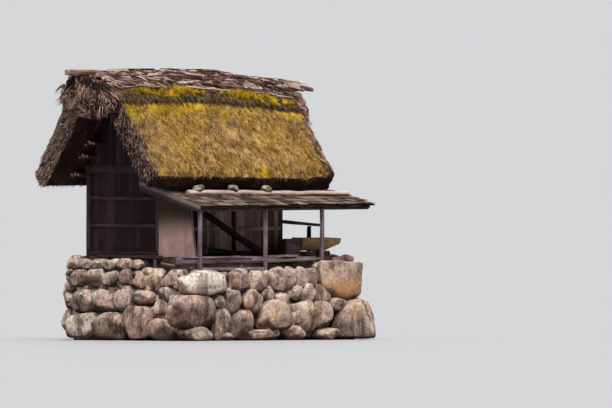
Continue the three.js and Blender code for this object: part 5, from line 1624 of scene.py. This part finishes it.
plaster_finish("clay_plaster")
low, high = hut_box("plaster_panel")
u, v, deep, faces = lattice(30, 36, 2)
y = high[1] + (part_way(FREE_EDGE_Y, np.clip(v * 1.7 / 1.53, 0, 1)) - high[1]) * u
z = part_way((low[2], np.minimum(shed_under(0, y) - 0.068, high[2])), v)
panel = xyz((1 - 2 * deep) * (high[0] - low[0]) / 2, y, z)
panel[:, 0] -= np.sign(deep - 0.5) * 0.006 * rough(panel, 0.4, 2400)
panel[:, 0] = np.clip(panel[:, 0], low[0], high[0])
add_piece("plaster_panel_clay", [shape(panel, faces)], "clay_plaster", "plaster", ["plaster_panel"])
low, high = hut_box("panel_edge")
edge_pole = log((*FREE_EDGE_FROM, low[2]), (*FREE_EDGE_TO, high[2]), 0.024, 0.020, 2410, 9, 0.002, 0.003, 0.6)
add_piece("panel_edge_pole", [edge_pole], "fresh_edge", "fresh_wood", ["panel_edge"])

# %% [markdown]
# Logs lie about the lean-to: two along its open side, one at the gable, a charred one that leans under the
# roof, painted darker still as painted shade, and a short thick one on the floor. Each is a tube whose ends,
# taper and bend differ.

# %% Logs
# Finish and slot
GREY, DARK_GREY = ("grey_timber", "grey_timber"), ("dark_timber", "grey_timber")
CHARRED_AND_SHADED, DARK = ("charred_and_shaded_wood", "charred_log"), ("dark_timber", "charred_log")
# Solid, from, to, radius at each end, finish and slot
LOGS = [
    ("sill_log_left", (-0.78, -1.3, -0.126), (1.27, -1.3, -0.118), 0.094, 0.086, GREY),
    ("sill_log_right", (1.272, -1.3, -0.122), (3.73, -1.3, -0.092), 0.09, 0.06, GREY),
    ("gable_log", (-0.11, 2.05, -0.045), (-0.11, -0.19, -0.05), 0.052, 0.058, DARK_GREY),
    ("side_pole", (-0.33, -0.4, -0.19), (-0.235, -1.44, -0.325), 0.027, 0.027, GREY),
    ("stub_post", (-0.11, 0.02, -0.43), (-0.11, 0.02, -0.1), 0.052, 0.052, GREY),
    ("edge_pole", (2.345, -1.45, -0.15), (4.265, -1.45, -0.095), 0.034, 0.028, GREY),
    ("diagonal_brace", (0.23, -1.308, 1.09), (2.3, -1.308, 0.06), 0.08, 0.09, CHARRED_AND_SHADED),
    ("loose_log", (0.64, -0.96, 0.104), (1.86, -1.02, 0.02), 0.132, 0.052, CHARRED_AND_SHADED),
    ("flume_pole", (LENGTH, 0.06, 0.828), (5.78, 0.105, 0.73), 0.046, 0.04, DARK),
    ("flume_post", (5.39, 0.092, -0.03), (5.39, 0.092, 0.706), 0.062, 0.055, CHARRED_AND_SHADED),
    ("trough_bearer_1", (4.76, -0.74, 0.032), (4.76, -0.16, 0.032), 0.066, 0.064, GREY),
    ("trough_bearer_2", (5.26, -0.74, 0.032), (5.26, -0.16, 0.032), 0.064, 0.066, GREY),
]
for number, (name, start, end, radius_from, radius_to, (finish, slot)) in enumerate(LOGS):
    body = log(start, end, radius_from, radius_to, 2500 + 10 * number, 16, 0.010, 0.010, 0.55)
    body["points"] = np.clip(body["points"], *hut_box(name))
    add_piece(name + "_round", [body], finish, slot, [name])

# %% Bearer, block and planks
BEARER_TOP = -0.295
# From, to, width, thickness
SILL_PLANKS = [
    ((-0.55, -1.33, -0.045), (1.2, -1.34, -0.052), 0.2, 0.035),
    ((1.25, -1.34, -0.05), (2.36, -1.33, -0.062), 0.18, 0.04),
    ((1.85, -1.38, -0.12), (2.95, -1.4, -0.135), 0.12, 0.05),
    ((2.46, -1.33, -0.06), (3.5, -1.3, -0.03), 0.2, 0.045),
    ((2.9, -1.4, -0.15), (4.05, -1.38, -0.085), 0.14, 0.04),
    ((3.2, -1.28, -0.05), (4.18, -1.3, -0.08), 0.1, 0.035),
]


def plank(start, end, wide, thick, seed):
    """A board that lies along a line: level across (along Y), and split a little uneven."""
    run, across, deep, faces = lattice(16, (-0.5, -0.44, 0.44, 0.5), PLANK_DEEP)
    points = start + np.subtract(end, start) * run[:, None] + xyz(0, across * wide, deep * thick)
    points = points + 0.012 * shake(points, (0.5, 0.1, 0.1), seed) * (0, 1, 1)
    return shape(points, faces, xyz(run * 2, across * wide, deep * thick) + seed, 0.62)


low, high = hut_box("lower_bearer")
frame_piece("lower_bearer", [
    (low, (high[0], high[1], BEARER_TOP)),
    ((1.40, low[1] + 0.005, BEARER_TOP - 0.005), (1.52, high[1] - 0.005, high[2])),
], 2700, "grey_timber", "grey_timber")
frame_piece("trough_block", [hut_box("trough_block")], 2710, "grey_timber", "grey_timber")
planks = [plank(*values, 2730 + n) for n, values in enumerate(SILL_PLANKS)]
add_piece("sill_planks", planks, "grey_timber", "grey_timber")

# %% [markdown]
# The trough is half a log, hollowed and spouted. One closed ring, down the outside and back up the inside, is
# carried along the log; towards the spout it narrows and its bottom rises.

# %% The trough
TROUGH_LOW, TROUGH_HIGH = hut_box("trough")
SPOUT_FROM = 5.35
WALL = 0.052
BLIND_END = 0.11
RIM_POINTS = 15


def trough_ring(x, inset):
    """Half a bowl: from one rim round the bottom to the other, for each x; a little flatter than a circle."""
    taper = np.clip((x - SPOUT_FROM) / (TROUGH_HIGH[0] - SPOUT_FROM), 0, 1)
    half = 0.205 - 0.085 * taper - inset
    low = TROUGH_LOW[2] + (0.25 - TROUGH_LOW[2]) * taper + inset
    top = TROUGH_HIGH[2] - 0.025 * taper
    angle = np.linspace(np.pi, 2 * np.pi, RIM_POINTS)[None]
    y = half[:, None] * np.sign(np.cos(angle)) * np.abs(np.cos(angle)) ** 0.8
    return y, top[:, None] - (top - low)[:, None] * np.abs(np.sin(angle)) ** 0.75


# %% The trough's skin
x = np.concatenate([[TROUGH_LOW[0]], np.linspace(TROUGH_LOW[0] + 0.01, TROUGH_HIGH[0], 40)])
hollow_from = TROUGH_LOW[0] + BLIND_END
outer_y, outer_z = trough_ring(x, 0)
inner_y, inner_z = trough_ring(np.maximum(x, hollow_from), WALL)
filled = np.clip((hollow_from - x) / 0.01, 0, 1)[:, None]
inner_z = np.maximum(inner_z, (TROUGH_HIGH[2] - 0.004) * filled + inner_z * (1 - filled))
ring_y = np.concatenate([outer_y, inner_y[:, ::-1]], axis=1) + (TROUGH_LOW[1] + TROUGH_HIGH[1]) / 2
rings = xyz(x[:, None], ring_y, np.concatenate([outer_z, inner_z[:, ::-1]], axis=1))
points = rings.reshape(-1, 3)
points[:, 2] += 0.006 * rough(points, (0.5, 0.08, 0.08), 2800)
row = np.arange(len(points)).reshape(ring_y.shape)
turned = np.roll(row, -1, axis=1)
walls = np.stack([row[:-1], turned[:-1], turned[1:], row[1:]], axis=-1).reshape(-1, 4)
first, last = (np.stack([row[end, :RIM_POINTS], row[end, RIM_POINTS:][::-1]], axis=-1) for end in (0, -1))
closing = lambda rim: np.stack([rim[:-1, 0], rim[:-1, 1], rim[1:, 1], rim[1:, 0]], axis=-1)
faces = np.concatenate([walls, closing(first), closing(last)[:, ::-1]])
near_rim = 1 - (TROUGH_HIGH[2] - points[:, 2]) / 0.12
mossy = np.clip(0.4 * near_rim + 0.4 * rough(points, 0.2, 2801), 0, 0.4)
hollow_log = shape(points, faces, None, 0.5, mossy)
add_piece("trough_hollow_log", [hollow_log], "mossy_log", "mossy_wood", ["trough"])

# %% [markdown]

# %% Ground and the end
GROUND = 2500.0

mesh = bpy.data.meshes.new("ground")
mesh.from_pydata([(-GROUND, -GROUND, 0), (GROUND, -GROUND, 0), (GROUND, GROUND, 0), (-GROUND, GROUND, 0)], [],
                 [(0, 1, 2, 3)])
pale = Finish("pale_ground")
pale.feed(pale.shader.inputs["Base Color"], (176, 177, 180))
mesh.materials.append(FINISHES["pale_ground"])
put_in_scene("ground", mesh)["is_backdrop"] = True
